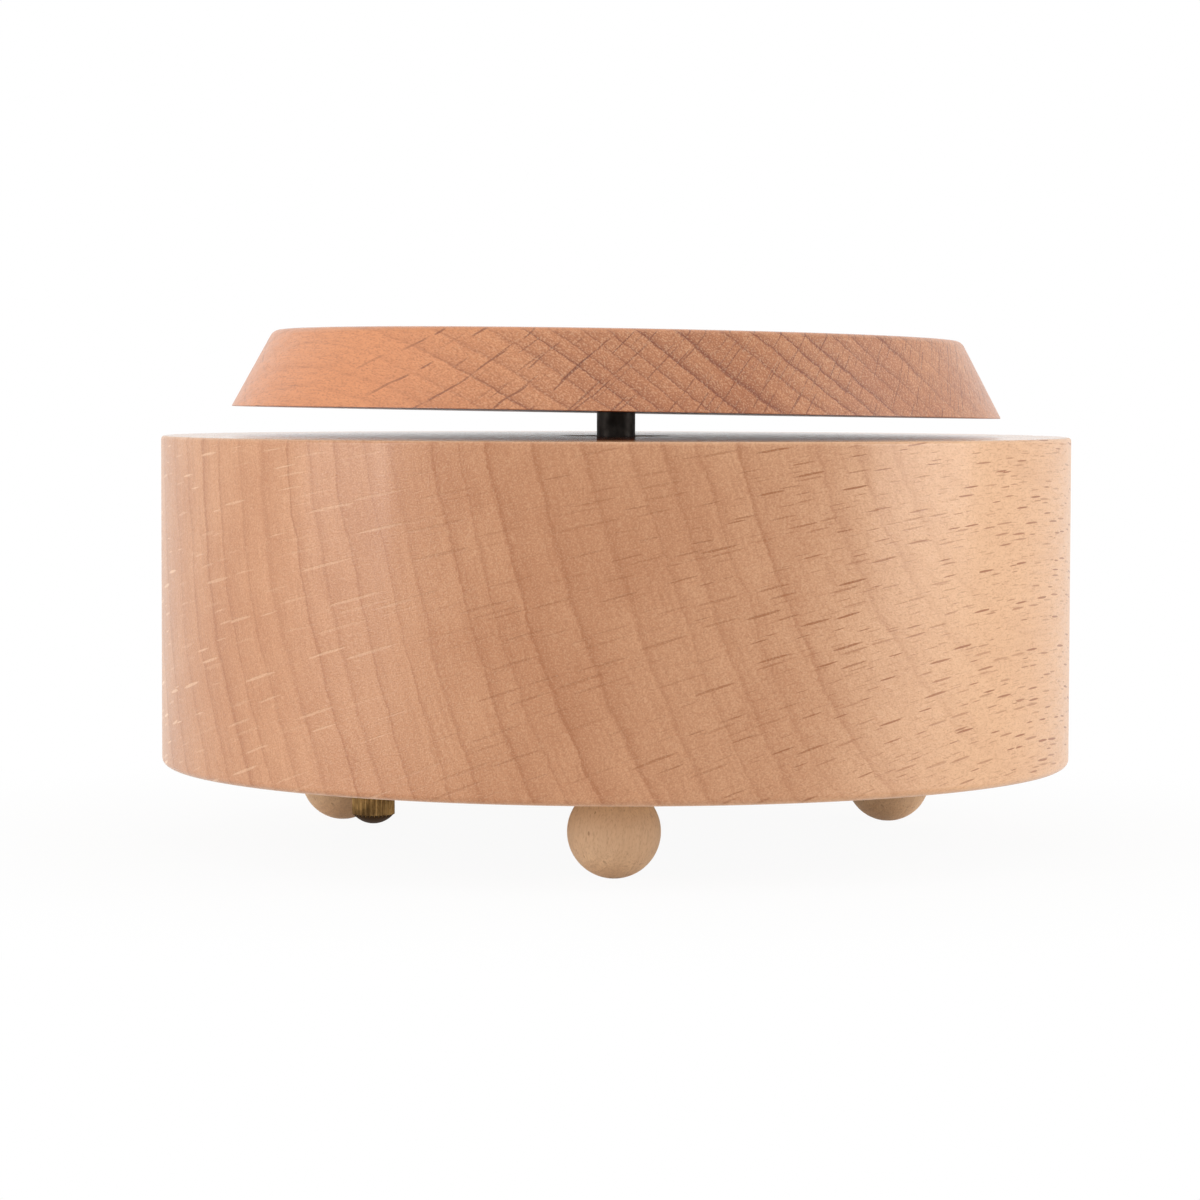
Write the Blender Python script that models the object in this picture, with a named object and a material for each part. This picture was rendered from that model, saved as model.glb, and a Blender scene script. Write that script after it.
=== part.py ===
"""Turntable music box on three ball feet.

A turned beech drum holds a comb movement under its top board. The movement's winding arbor comes up through
the board and carries a beech turntable. Twisting the turntable winds the mainspring, and the turntable runs
back while the comb plays. A knurled knob under the drum slides a rod up into the governor's fan to stop it.

The origin is on the floor under the middle of the drum. +Z is up and -Y faces the viewer.
"""

import math

import bmesh
import bpy
from mathutils import Euler, Matrix, Vector

MM = 0.001

# Fits
GAP = 0.3 * MM
RUNNING_GAP = 0.5 * MM
OVERCUT = 1.0 * MM
AXIS_MARK_SIZE = 5.0 * MM

# Points round a circle
LARGE_ROUND_STEPS = 56
MEDIUM_ROUND_STEPS = 30
BALL_ROUND_STEPS = 16
SMALL_ROUND_STEPS = 12
TINY_ROUND_STEPS = 8
EDGE_STEPS = 2

# Screw slots, as shares of the screw head's diameter and height
SLOT_WIDTH_SHARE = 0.17
SLOT_DEPTH_SHARE = 0.45

# Ball feet and their dowels
FOOT_COUNT = 3
FOOT_NAMES = ("front", "right", "left")
FOOT_DIAMETER = 11.5 * MM
FOOT_SEAT_DIAMETER = 7.4 * MM
FOOT_REST_DIAMETER = 2.0 * MM
FOOT_CIRCLE_DIAMETER = 87.4 * MM
FIRST_FOOT_ANGLE = math.radians(-90)
FOOT_ARC_STEPS = 7
DOWEL_DIAMETER = 3.0 * MM
DOWEL_DEPTH_IN_FOOT = 5.0 * MM
DOWEL_DEPTH_IN_DRUM = 8.0 * MM
DOWEL_CHAMFER = 0.4 * MM

# Base drum and its bottom cover
BASE_DIAMETER = 120.0 * MM
BASE_HEIGHT = 43.1 * MM
BASE_TOP_ROUND = 0.5 * MM
BASE_BOTTOM_ROUND = 0.9 * MM
TOP_BOARD_THICKNESS = 6.0 * MM
CAVITY_DIAMETER = 82.0 * MM
SHAFT_HOLE_DIAMETER = 14.5 * MM
COVER_DIAMETER = 107.4 * MM
COVER_THICKNESS = 3.0 * MM
COVER_SCREW_CIRCLE_DIAMETER = 98.0 * MM

# Turntable
DISC_CLEARANCE = 3.1 * MM
DISC_LOWER_DIAMETER = 101.6 * MM
DISC_UPPER_DIAMETER = 90.8 * MM
DISC_THICKNESS = 10.1 * MM
DISC_EDGE_ROUND = 0.8 * MM
DISC_SOCKET_DEPTH = 6.0 * MM
DISC_LEAN = math.radians(0.96)
DISC_LEAN_TOWARDS = math.radians(32)
FLANGE_DIAMETER = 24.6 * MM
FLANGE_THICKNESS = 1.2 * MM
FLANGE_SCREW_CIRCLE_DIAMETER = 16.0 * MM
FLANGE_SCREW_COUNT = 3
SHAFT_DIAMETER = 5.1 * MM
SHAFT_CHAMFER = 0.3 * MM
SHAFT_BORE_DEPTH = 11.0 * MM

# Room between the corner of the governor's frame and the cavity's wall
MOVEMENT_CLEARANCE = 1.9 * MM

# Bedplate of the movement, with the arbor's bush
BEDPLATE_RIGHT = 18.0 * MM
BEDPLATE_FRONT = 19.5 * MM
BEDPLATE_BACK = 24.0 * MM
BEDPLATE_CORNER = 5.5 * MM
BEDPLATE_THICKNESS = 3.0 * MM
BUSH_DIAMETER = 6.4 * MM
BUSH_FLANGE_DIAMETER = 9.6 * MM
BUSH_FLANGE_THICKNESS = 0.8 * MM
MOVEMENT_SCREW_PLACES = ((13.5 * MM, -15.5 * MM), (13.5 * MM, 19.0 * MM), (-16.0 * MM, -16.0 * MM))

# Gear teeth: the share of the pitch that a tooth takes, and its taper towards tip and root
TOOTH_SHARE = 0.36
TIP_SHARE = 0.5
ROOT_SHARE = 1.25
TIP_CLEARANCE = 0.2 * MM

# Wheel train
CROWN_TEETH = 40
CROWN_MODULE = 0.58 * MM
CYLINDER_PINION_TEETH = 10
CYLINDER_GEAR_TEETH = 36
CYLINDER_GEAR_MODULE = 0.4 * MM
FIRST_PINION_TEETH = 8
FIRST_WHEEL_TEETH = 32
FIRST_WHEEL_MODULE = 0.35 * MM
WORM_WHEEL_PINION_TEETH = 8
WORM_WHEEL_TEETH = 20
WHEEL_THICKNESS = 1.0 * MM
PINION_OVERHANG = 0.2 * MM
FIRST_WHEEL_DROP_ANGLE = math.radians(12.3)
WORM_WHEEL_RISE_ANGLE = math.radians(13.7)

# Winding arbor and crown wheel
ARBOR_DIAMETER = 3.2 * MM
ARBOR_CORE_DIAMETER = 4.4 * MM
ARBOR_PIVOT_DIAMETER = 2.4 * MM
CROWN_PLATE_THICKNESS = 1.2 * MM
CROWN_FACE_WIDTH = 1.9 * MM
CROWN_RIM = 0.3 * MM

# Ratchet wheel, click and click spring
RATCHET_TEETH = 16
RATCHET_DIAMETER = 9.6 * MM
RATCHET_TOOTH_HEIGHT = 0.6 * MM
RATCHET_THICKNESS = 1.1 * MM
CLICK_CIRCLE_RADIUS = 8.2 * MM
CLICK_BOSS_DIAMETER = 3.0 * MM
CLICK_POST_DIAMETER = 1.2 * MM
CLICK_NOSE_WIDTH = 0.4 * MM
CLICK_ANGLE = math.radians(30)
CLICK_BOSS_STEPS = 8
CLICK_SPRING_THICKNESS = 0.3 * MM
CLICK_SPRING_ANGLE = math.radians(70)
CLICK_SPRING_STEPS = 8

# Spring barrel
BARREL_DIAMETER = 25.0 * MM
BARREL_HEIGHT = 10.6 * MM
BARREL_WALL = 0.8 * MM
BARREL_LID_THICKNESS = 0.6 * MM
BARREL_PILLAR_CIRCLE_RADIUS = 15.5 * MM
BARREL_PILLAR_DIAMETER = 2.6 * MM
BARREL_PILLAR_END_DIAMETER = 1.8 * MM
BARREL_PILLAR_HEAD_HEIGHT = 0.8 * MM
BARREL_PILLAR_ANGLES = (0.0, math.radians(75), math.radians(-75))
BARREL_EAR_WIDTH = 4.4 * MM
BARREL_RIM = 0.4 * MM
BARREL_EAR_STEPS = 4
MAINSPRING_THICKNESS = 0.35 * MM
MAINSPRING_TURNS = 4
MAINSPRING_STEPS_PER_TURN = 12

# Pinned cylinder
NOTE_COUNT = 18
CYLINDER_DIAMETER = 12.6 * MM
CYLINDER_END_MARGIN = 0.6 * MM
CYLINDER_ARBOR_DIAMETER = 2.0 * MM
CYLINDER_STANDOFF = 1.0 * MM
PIN_HEIGHT = 0.7 * MM
PIN_WIDTH = 0.35 * MM
PINS_PER_NOTE = 2
PIN_TURN = math.pi * (3 - math.sqrt(5))

# Comb and comb base
COMB_PLUCK_GAP = 0.25 * MM
COMB_TOOTH_THICKNESS = 0.7 * MM
COMB_TOOTH_WIDTH = 0.55 * MM
COMB_SHORT_TOOTH = 8.5 * MM
COMB_LONG_TOOTH = 11.0 * MM
COMB_BACK = 23.0 * MM
COMB_BODY_THICKNESS = 1.8 * MM
COMB_SIDE_MARGIN = 0.5 * MM
COMB_SCREW_INSET = 4.0 * MM
COMB_SCREW_HEAD_HEIGHT = 1.4 * MM

# Bearing brackets and governor frame
SHEET_THICKNESS = 1.0 * MM
BRACKET_WIDTH = 6.4 * MM
BRACKET_FLANGE_LENGTH = 3.3 * MM
BRACKET_END_WALL = 0.4 * MM
GEAR_HEADROOM = 0.6 * MM
BEARING_WALL = 0.6 * MM
FRAME_LEG_WIDTH = 1.6 * MM
FRAME_SEAT_WIDTH = 3.2 * MM

# Governor
TRAIN_ARBOR_DIAMETER = 1.2 * MM
TRAIN_PIVOT_DIAMETER = 0.7 * MM
WORM_PITCH_RADIUS = 1.2 * MM
WORM_ROOT_RADIUS = 0.65 * MM
WORM_THREAD_THICKNESS = 0.34 * MM
WORM_THREAD_SINK = 0.2 * MM
WORM_TURNS = 3
WORM_STEPS_PER_TURN = 8
FAN_DIAMETER = 13.0 * MM
FAN_HEIGHT = 4.6 * MM
FAN_THICKNESS = 0.35 * MM
FAN_HUB_DIAMETER = 3.0 * MM
FAN_HEADROOM = 1.3 * MM

# Stop rod, its bush and its knob
STOP_RADIUS_UNDER_FAN = 5.6 * MM
STOP_ANGLE_UNDER_FAN = math.radians(151)
STOP_TRAVEL = 2.0 * MM
STOP_ROD_DIAMETER = 2.0 * MM
STOP_COLLAR_DIAMETER = 3.6 * MM
STOP_COLLAR_HEIGHT = 1.0 * MM
STOP_BUSH_DIAMETER = 3.8 * MM
STOP_BUSH_FLANGE_DIAMETER = 6.4 * MM
STOP_BUSH_FLANGE_THICKNESS = 0.8 * MM
STOP_BUSH_LENGTH = 5.0 * MM
KNOB_DIAMETER = 5.6 * MM
KNOB_TIP_HEIGHT = 2.6 * MM
KNOB_DOME_HEIGHT = 1.2 * MM
KNOB_DOME_STEPS = 3
KNOB_CHAMFER = 0.25 * MM
KNURL_RIDGES = 26
KNURL_DEPTH = 0.14 * MM
KNOB_FLOOR = 1.4 * MM


def polar(radius, angle):
    """The point at this radius and angle in a piece's own plane."""
    return Vector((radius * math.cos(angle), radius * math.sin(angle)))


class Gear:
    """A spur gear or pinion with straight flanks, drawn round its own Z axis."""

    def __init__(self, teeth, module):
        self.teeth = teeth
        self.module = module
        self.pitch_radius = teeth * module / 2
        self.tip_radius = self.pitch_radius + module
        self.root_radius = self.pitch_radius - module - TIP_CLEARANCE
        self.tooth_angle = 2 * math.pi / teeth
        self.tooth_thickness = TOOTH_SHARE * math.pi * module

    def outline(self, phase):
        """The points round the gear, with the middle of one tooth at the angle phase."""
        tip_half = TIP_SHARE * self.tooth_thickness / 2 / self.tip_radius
        root_half = ROOT_SHARE * self.tooth_thickness / 2 / self.root_radius
        flank = ((self.root_radius, root_half), (self.tip_radius, tip_half))
        points = []
        for tooth in range(self.teeth):
            middle = phase + tooth * self.tooth_angle
            points += [polar(radius, middle - half) for radius, half in flank]
            points += [polar(radius, middle + half) for radius, half in reversed(flank)]
        return points


CROWN_WHEEL = Gear(CROWN_TEETH, CROWN_MODULE)
CYLINDER_PINION = Gear(CYLINDER_PINION_TEETH, CROWN_MODULE)
CYLINDER_GEAR = Gear(CYLINDER_GEAR_TEETH, CYLINDER_GEAR_MODULE)
FIRST_PINION = Gear(FIRST_PINION_TEETH, CYLINDER_GEAR_MODULE)
FIRST_WHEEL = Gear(FIRST_WHEEL_TEETH, FIRST_WHEEL_MODULE)
WORM_WHEEL_PINION = Gear(WORM_WHEEL_PINION_TEETH, FIRST_WHEEL_MODULE)
WORM_WHEEL = Gear(WORM_WHEEL_TEETH, FIRST_WHEEL_MODULE)

# Heights of the case, from the floor up
FOOT_CENTRE_Z = math.sqrt(FOOT_DIAMETER**2 - FOOT_REST_DIAMETER**2) / 2
FOOT_SEAT_Z = FOOT_CENTRE_Z + math.sqrt(FOOT_DIAMETER**2 - FOOT_SEAT_DIAMETER**2) / 2
BASE_BOTTOM_Z = FOOT_SEAT_Z + GAP
COVER_TOP_Z = BASE_BOTTOM_Z + COVER_THICKNESS
LEDGE_Z = COVER_TOP_Z + GAP
BASE_TOP_Z = BASE_BOTTOM_Z + BASE_HEIGHT
BOARD_UNDERSIDE_Z = BASE_TOP_Z - TOP_BOARD_THICKNESS
DISC_BOTTOM_Z = BASE_TOP_Z + DISC_CLEARANCE

# Heights of the movement, from the board down
BEDPLATE_TOP_Z = BOARD_UNDERSIDE_Z - GAP
BEDPLATE_BOTTOM_Z = BEDPLATE_TOP_Z - BEDPLATE_THICKNESS
BRACKET_TOP_Z = BEDPLATE_BOTTOM_Z - GAP
BRACKET_FLANGE_BOTTOM_Z = BRACKET_TOP_Z - SHEET_THICKNESS
CYLINDER_Z = BRACKET_FLANGE_BOTTOM_Z - GEAR_HEADROOM - CYLINDER_GEAR.tip_radius
CROWN_PITCH_Z = CYLINDER_Z - CYLINDER_PINION.pitch_radius
CROWN_TIP_Z = CROWN_PITCH_Z + CROWN_MODULE
CROWN_ROOT_Z = CROWN_PITCH_Z - CROWN_MODULE - TIP_CLEARANCE
CROWN_BOTTOM_Z = CROWN_ROOT_Z - CROWN_PLATE_THICKNESS
RATCHET_BOTTOM_Z = CROWN_ROOT_Z + GAP
LID_TOP_Z = CROWN_BOTTOM_Z - RUNNING_GAP
LID_BOTTOM_Z = LID_TOP_Z - BARREL_LID_THICKNESS
BARREL_TOP_Z = LID_BOTTOM_Z - GAP
BARREL_BOTTOM_Z = BARREL_TOP_Z - BARREL_HEIGHT
BARREL_FLOOR_Z = BARREL_BOTTOM_Z + BARREL_WALL

# Axes of the governor's wheels, as (y, z)
FIRST_DISTANCE = CYLINDER_GEAR.pitch_radius + FIRST_PINION.pitch_radius
FIRST_AXIS = Vector(
    (
        -FIRST_DISTANCE * math.cos(FIRST_WHEEL_DROP_ANGLE),
        CYLINDER_Z - FIRST_DISTANCE * math.sin(FIRST_WHEEL_DROP_ANGLE),
    )
)
WORM_WHEEL_DISTANCE = FIRST_WHEEL.pitch_radius + WORM_WHEEL_PINION.pitch_radius
WORM_WHEEL_AXIS = FIRST_AXIS + Vector(
    (
        -WORM_WHEEL_DISTANCE * math.cos(WORM_WHEEL_RISE_ANGLE),
        WORM_WHEEL_DISTANCE * math.sin(WORM_WHEEL_RISE_ANGLE),
    )
)
WORM_Y = WORM_WHEEL_AXIS.x + WORM_WHEEL.pitch_radius + WORM_PITCH_RADIUS
WORM_LEAD = math.pi * FIRST_WHEEL_MODULE
WORM_TIP_RADIUS = WORM_PITCH_RADIUS + FIRST_WHEEL_MODULE
FRAME_FRONT_Y = WORM_WHEEL_AXIS.x - TRAIN_ARBOR_DIAMETER / 2 - GAP - BEARING_WALL

# Distances out from the winding arbor along the cylinder, which lies towards -X. The governor's outer
# cheek goes as far out as the cavity lets its front corner, and the cylinder fills what is left.
PINION_MIDDLE = CROWN_WHEEL.pitch_radius
PINION_INNER = PINION_MIDDLE - CROWN_FACE_WIDTH / 2
PINION_OUTER = PINION_MIDDLE + CROWN_FACE_WIDTH / 2
INNER_BRACKET_FAR = PINION_INNER - RUNNING_GAP
INNER_BRACKET_NEAR = INNER_BRACKET_FAR - SHEET_THICKNESS
MOVEMENT_REACH = CAVITY_DIAMETER / 2 - MOVEMENT_CLEARANCE
OUTER_CHEEK_FAR = math.sqrt(MOVEMENT_REACH**2 - FRAME_FRONT_Y**2)
OUTER_CHEEK_NEAR = OUTER_CHEEK_FAR - SHEET_THICKNESS
FIRST_WHEEL_FAR = OUTER_CHEEK_NEAR - RUNNING_GAP - PINION_OVERHANG
FIRST_WHEEL_NEAR = FIRST_WHEEL_FAR - WHEEL_THICKNESS
CYLINDER_GEAR_FAR = FIRST_WHEEL_NEAR - 2 * RUNNING_GAP
CYLINDER_GEAR_NEAR = CYLINDER_GEAR_FAR - WHEEL_THICKNESS
INNER_CHEEK_FAR = CYLINDER_GEAR_NEAR - PINION_OVERHANG - RUNNING_GAP
INNER_CHEEK_NEAR = INNER_CHEEK_FAR - SHEET_THICKNESS
CYLINDER_NEAR = PINION_OUTER + CYLINDER_STANDOFF
CYLINDER_FAR = CYLINDER_GEAR_NEAR - RUNNING_GAP
CYLINDER_LENGTH = CYLINDER_FAR - CYLINDER_NEAR
NOTE_SPACING = (CYLINDER_LENGTH - 2 * CYLINDER_END_MARGIN) / (NOTE_COUNT - 1)
WORM_X = -(INNER_CHEEK_NEAR - RUNNING_GAP - WORM_TIP_RADIUS)

# Heights of the fan and of the governor's lower bearing
FAN_TOP_Z = FIRST_AXIS.y - FIRST_WHEEL.tip_radius - FAN_HEADROOM
FAN_BOTTOM_Z = FAN_TOP_Z - FAN_HEIGHT
FRAME_SEAT_TOP_Z = FAN_BOTTOM_Z - 2 * RUNNING_GAP
FRAME_SEAT_BOTTOM_Z = FRAME_SEAT_TOP_Z - SHEET_THICKNESS
STOP_ROD_TOP_Z = FAN_BOTTOM_Z - RUNNING_GAP

# Comb, towards +Y
COMB_TIP_Y = CYLINDER_DIAMETER / 2 + PIN_HEIGHT + COMB_PLUCK_GAP
COMB_NEAR = CYLINDER_NEAR + CYLINDER_END_MARGIN - COMB_SIDE_MARGIN
COMB_FAR = CYLINDER_FAR - CYLINDER_END_MARGIN + COMB_SIDE_MARGIN
COMB_BASE_FRONT = COMB_TIP_Y + COMB_LONG_TOOTH
COMB_SCREW_Y = (COMB_BASE_FRONT + COMB_BACK) / 2
COMB_BODY_BOTTOM_Z = CYLINDER_Z - COMB_BODY_THICKNESS / 2
COMB_BODY_TOP_Z = CYLINDER_Z + COMB_BODY_THICKNESS / 2


class Screw:
    """A slotted screw that points up its Z axis, with the outer face of its head at the origin."""

    def __init__(self, head_diameter, head_height, shank_diameter, length, countersunk):
        self.head_radius = head_diameter / 2
        self.head_height = head_height
        self.shank_radius = shank_diameter / 2
        self.length = length
        self.countersunk = countersunk

    def solid(self):
        profile = [(0, 0), (self.head_radius, 0)]
        if not self.countersunk:
            profile.append((self.head_radius, self.head_height))
        profile.append((self.shank_radius, self.head_height))
        profile.append((self.shank_radius, self.length - self.shank_radius))
        profile.append((0, self.length))
        return turned(profile, TINY_ROUND_STEPS)

    def slot(self):
        half_width = self.head_radius * SLOT_WIDTH_SHARE
        depth = self.head_height * SLOT_DEPTH_SHARE
        reach = self.head_radius + OVERCUT
        return block((-reach, -half_width, -OVERCUT), (reach, half_width, depth))

    def hole(self, depth):
        """The clearance hole for this screw, with its countersink, as a solid to cut away."""
        shank = self.shank_radius + GAP
        if not self.countersunk:
            return rod(shank, -OVERCUT, depth, TINY_ROUND_STEPS)
        slope = (self.head_radius - self.shank_radius) / self.head_height
        widening = GAP * math.hypot(1, slope)
        mouth = self.head_radius + widening + OVERCUT * slope
        neck = self.head_height + (widening - GAP) / slope
        profile = [(0, -OVERCUT), (mouth, -OVERCUT), (shank, neck), (shank, depth), (0, depth)]
        return turned(profile, TINY_ROUND_STEPS)


COVER_SCREW = Screw(
    head_diameter=5.0 * MM,
    head_height=1.6 * MM,
    shank_diameter=2.4 * MM,
    length=10.0 * MM,
    countersunk=True,
)
MOVEMENT_SCREW = Screw(
    head_diameter=4.6 * MM,
    head_height=1.6 * MM,
    shank_diameter=2.2 * MM,
    length=8.4 * MM,
    countersunk=False,
)
FLANGE_SCREW = Screw(
    head_diameter=3.0 * MM,
    head_height=0.8 * MM,
    shank_diameter=1.4 * MM,
    length=5.5 * MM,
    countersunk=True,
)
BEDPLATE_SCREW = Screw(
    head_diameter=3.0 * MM,
    head_height=0.9 * MM,
    shank_diameter=1.4 * MM,
    length=BEDPLATE_THICKNESS + GAP + SHEET_THICKNESS,
    countersunk=True,
)
COMB_SCREW = Screw(
    head_diameter=3.6 * MM,
    head_height=COMB_SCREW_HEAD_HEIGHT,
    shank_diameter=2.0 * MM,
    length=BEDPLATE_TOP_Z - RUNNING_GAP - (COMB_BODY_BOTTOM_Z - GAP - COMB_SCREW_HEAD_HEIGHT),
    countersunk=False,
)


def clear_scene():
    for old in list(bpy.data.objects):
        bpy.data.objects.remove(old, do_unlink=True)


def finish(name, colour, roughness, metallic):
    """A plain surface finish, made once for each name."""
    material = bpy.data.materials.get(name)
    if material is None:
        material = bpy.data.materials.new(name)
        material.use_nodes = True
        shader = material.node_tree.nodes["Principled BSDF"]
        shader.inputs["Base Color"].default_value = (*colour, 1)
        shader.inputs["Roughness"].default_value = roughness
        shader.inputs["Metallic"].default_value = metallic
        material.diffuse_color = (*colour, 1)
    return material


def lacquered_beech():
    return finish("lacquered_beech", (0.56, 0.33, 0.20), 0.32, 0)


def bare_beech():
    return finish("bare_beech", (0.55, 0.36, 0.23), 0.6, 0)


def plywood():
    return finish("plywood", (0.62, 0.46, 0.30), 0.65, 0)


def blackened_steel():
    return finish("blackened_steel", (0.02, 0.018, 0.016), 0.35, 1)


def bright_steel():
    return finish("bright_steel", (0.55, 0.56, 0.57), 0.3, 1)


def spring_steel():
    return finish("spring_steel", (0.24, 0.26, 0.32), 0.3, 1)


def nickel_plate():
    return finish("nickel_plate", (0.68, 0.66, 0.62), 0.28, 1)


def brass():
    return finish("brass", (0.68, 0.49, 0.20), 0.3, 1)


def aged_brass():
    return finish("aged_brass", (0.30, 0.21, 0.10), 0.35, 1)


def fan_plastic():
    return finish("fan_plastic", (0.75, 0.74, 0.70), 0.5, 0)


def turned(profile, steps):
    """The solid that the (radius, height) profile sweeps round Z, closed on the axis or into a ring."""
    shape = bmesh.new()
    points = [shape.verts.new((radius, 0, height)) for radius, height in profile]
    edges = [shape.edges.new(pair) for pair in zip(points, points[1:])]
    if profile[0][0] > 0:
        edges.append(shape.edges.new((points[-1], points[0])))
    bmesh.ops.spin(
        shape,
        geom=points + edges,
        cent=(0, 0, 0),
        axis=(0, 0, 1),
        angle=2 * math.pi,
        steps=steps,
        use_merge=True,
    )
    bmesh.ops.remove_doubles(shape, verts=shape.verts, dist=1e-7)
    bmesh.ops.recalc_face_normals(shape, faces=shape.faces)
    return shape


def extruded(outline, bottom, top):
    """The flat outline pulled up from one height to another."""
    shape = bmesh.new()
    face = shape.faces.new([shape.verts.new((x, y, bottom)) for x, y in outline])
    pulled = bmesh.ops.extrude_face_region(shape, geom=[face])
    raised = [part for part in pulled["geom"] if isinstance(part, bmesh.types.BMVert)]
    bmesh.ops.translate(shape, verts=raised, vec=(0, 0, top - bottom))
    bmesh.ops.recalc_face_normals(shape, faces=shape.faces)
    return shape


def swept(sections):
    """Skin over sections that have as many points each, with both ends capped."""
    shape = bmesh.new()
    rows = [[shape.verts.new(point) for point in section] for section in sections]
    for row, following in zip(rows, rows[1:]):
        for index in range(len(row)):
            after = (index + 1) % len(row)
            shape.faces.new((row[index], row[after], following[after], following[index]))
    shape.faces.new(rows[0])
    shape.faces.new(rows[-1])
    bmesh.ops.recalc_face_normals(shape, faces=shape.faces)
    return shape


def rod(radius, bottom, top, steps):
    return turned([(0, bottom), (radius, bottom), (radius, top), (0, top)], steps)


def tube(radius, bore_radius, bottom, top, steps):
    return turned([(bore_radius, bottom), (radius, bottom), (radius, top), (bore_radius, top)], steps)


def block(low, high):
    """A box between two opposite corners."""
    shape = bmesh.new()
    low = Vector(low)
    high = Vector(high)
    size = Matrix.Diagonal((*(high - low), 1))
    bmesh.ops.create_cube(shape, size=1, matrix=Matrix.Translation((low + high) / 2) @ size)
    return shape


def moved(shape, at=(0, 0, 0), turn=(0, 0, 0)):
    matrix = Matrix.Translation(at) @ Euler(turn).to_matrix().to_4x4()
    bmesh.ops.transform(shape, matrix=matrix, verts=shape.verts)
    return shape


def together(shapes):
    """One mesh of several shapes that stay clear of each other."""
    whole = bmesh.new()
    for shape in shapes:
        mesh = bpy.data.meshes.new("shape")
        shape.to_mesh(mesh)
        shape.free()
        whole.from_mesh(mesh)
        bpy.data.meshes.remove(mesh)
    return whole


def arc(centre, radius, start, end, steps):
    """Points of a turned profile's arc, by angle from the outward direction."""
    angles = [start + (end - start) * step / steps for step in range(steps + 1)]
    return [(centre[0] + radius * math.cos(a), centre[1] + radius * math.sin(a)) for a in angles]


def axis(name, at, parent=None, turn=(0, 0, 0)):
    """An empty that carries one moving group, on its axis."""
    empty = bpy.data.objects.new(name, None)
    empty.empty_display_size = AXIS_MARK_SIZE
    bpy.context.scene.collection.objects.link(empty)
    empty.location = at
    empty.rotation_euler = turn
    empty.parent = parent
    return empty


def add_piece(name, shape, material, parent, at=(0, 0, 0), turn=(0, 0, 0)):
    """One named piece; at and turn are in its parent's frame."""
    mesh = bpy.data.meshes.new(name)
    shape.to_mesh(mesh)
    shape.free()
    mesh.shade_smooth()
    mesh.set_sharp_from_angle(angle=math.radians(30))
    mesh.materials.append(material)
    piece = bpy.data.objects.new(name, mesh)
    bpy.context.scene.collection.objects.link(piece)
    piece.parent = parent
    piece.location = at
    piece.rotation_euler = turn
    return piece


def add_tool(piece, shape, operation, at, turn, parent):
    """Combine a hidden helper shape with the piece."""
    name = f"{piece.name}_{operation.lower()}_{len(piece.modifiers)}"
    tool = add_piece(name, shape, piece.data.materials[0], parent, at, turn)
    tool.hide_render = True
    tool.display_type = "WIRE"
    modifier = piece.modifiers.new(operation.capitalize(), "BOOLEAN")
    modifier.operation = operation
    modifier.object = tool
    modifier.solver = "EXACT"


def cut(piece, shape, at=(0, 0, 0), turn=(0, 0, 0), parent=None):
    add_tool(piece, shape, "DIFFERENCE", at, turn, parent)


def join(piece, shape, at=(0, 0, 0), turn=(0, 0, 0), parent=None):
    add_tool(piece, shape, "UNION", at, turn, parent)


def add_screw(name, screw, parent, at, turn=(0, 0, 0), material=None):
    piece = add_piece(name, screw.solid(), material or bright_steel(), parent, at, turn)
    cut(piece, screw.slot(), at, turn, parent)
    return piece


def foot_angle(index):
    return FIRST_FOOT_ANGLE + 2 * math.pi * index / FOOT_COUNT


def foot_places():
    return [polar(FOOT_CIRCLE_DIAMETER / 2, foot_angle(index)) for index in range(FOOT_COUNT)]


def cover_screw_places():
    between = math.pi / FOOT_COUNT
    radius = COVER_SCREW_CIRCLE_DIAMETER / 2
    return [polar(radius, foot_angle(index) + between) for index in range(FOOT_COUNT)]


def build_drum(case):
    """The turned drum: bored out from below under a top board, with a ledge for the cover."""
    radius = BASE_DIAMETER / 2
    rebate = COVER_DIAMETER / 2 + GAP
    ledge = LEDGE_Z - BASE_BOTTOM_Z
    board = BASE_HEIGHT - TOP_BOARD_THICKNESS
    hole = SHAFT_HOLE_DIAMETER / 2
    top_centre = (radius - BASE_TOP_ROUND, BASE_HEIGHT - BASE_TOP_ROUND)
    bottom_centre = (radius - BASE_BOTTOM_ROUND, BASE_BOTTOM_ROUND)
    profile = [(hole, BASE_HEIGHT)]
    profile += arc(top_centre, BASE_TOP_ROUND, math.pi / 2, 0, EDGE_STEPS)
    profile += arc(bottom_centre, BASE_BOTTOM_ROUND, 0, -math.pi / 2, EDGE_STEPS)
    profile += [(rebate, 0), (rebate, ledge), (CAVITY_DIAMETER / 2, ledge)]
    profile += [(CAVITY_DIAMETER / 2, board), (hole, board)]
    drum = add_piece(
        "base_drum", turned(profile, LARGE_ROUND_STEPS), lacquered_beech(), case, (0, 0, BASE_BOTTOM_Z)
    )
    dowel_top = LEDGE_Z + DOWEL_DEPTH_IN_DRUM
    holes = [
        moved(rod(DOWEL_DIAMETER / 2 + GAP, LEDGE_Z - OVERCUT, dowel_top, TINY_ROUND_STEPS), (x, y, 0))
        for x, y in foot_places()
    ]
    pilot = COVER_SCREW.shank_radius + GAP
    pilot_top = BASE_BOTTOM_Z + COVER_SCREW.length + GAP
    holes += [
        moved(rod(pilot, LEDGE_Z - OVERCUT, pilot_top, TINY_ROUND_STEPS), (x, y, 0))
        for x, y in cover_screw_places()
    ]
    pilot = MOVEMENT_SCREW.shank_radius + GAP
    pilot_top = movement_screw_z() + MOVEMENT_SCREW.length + GAP
    holes += [
        moved(rod(pilot, BOARD_UNDERSIDE_Z - OVERCUT, pilot_top, TINY_ROUND_STEPS), (x, y, 0))
        for x, y in MOVEMENT_SCREW_PLACES
    ]
    cut(drum, together(holes))


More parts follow.
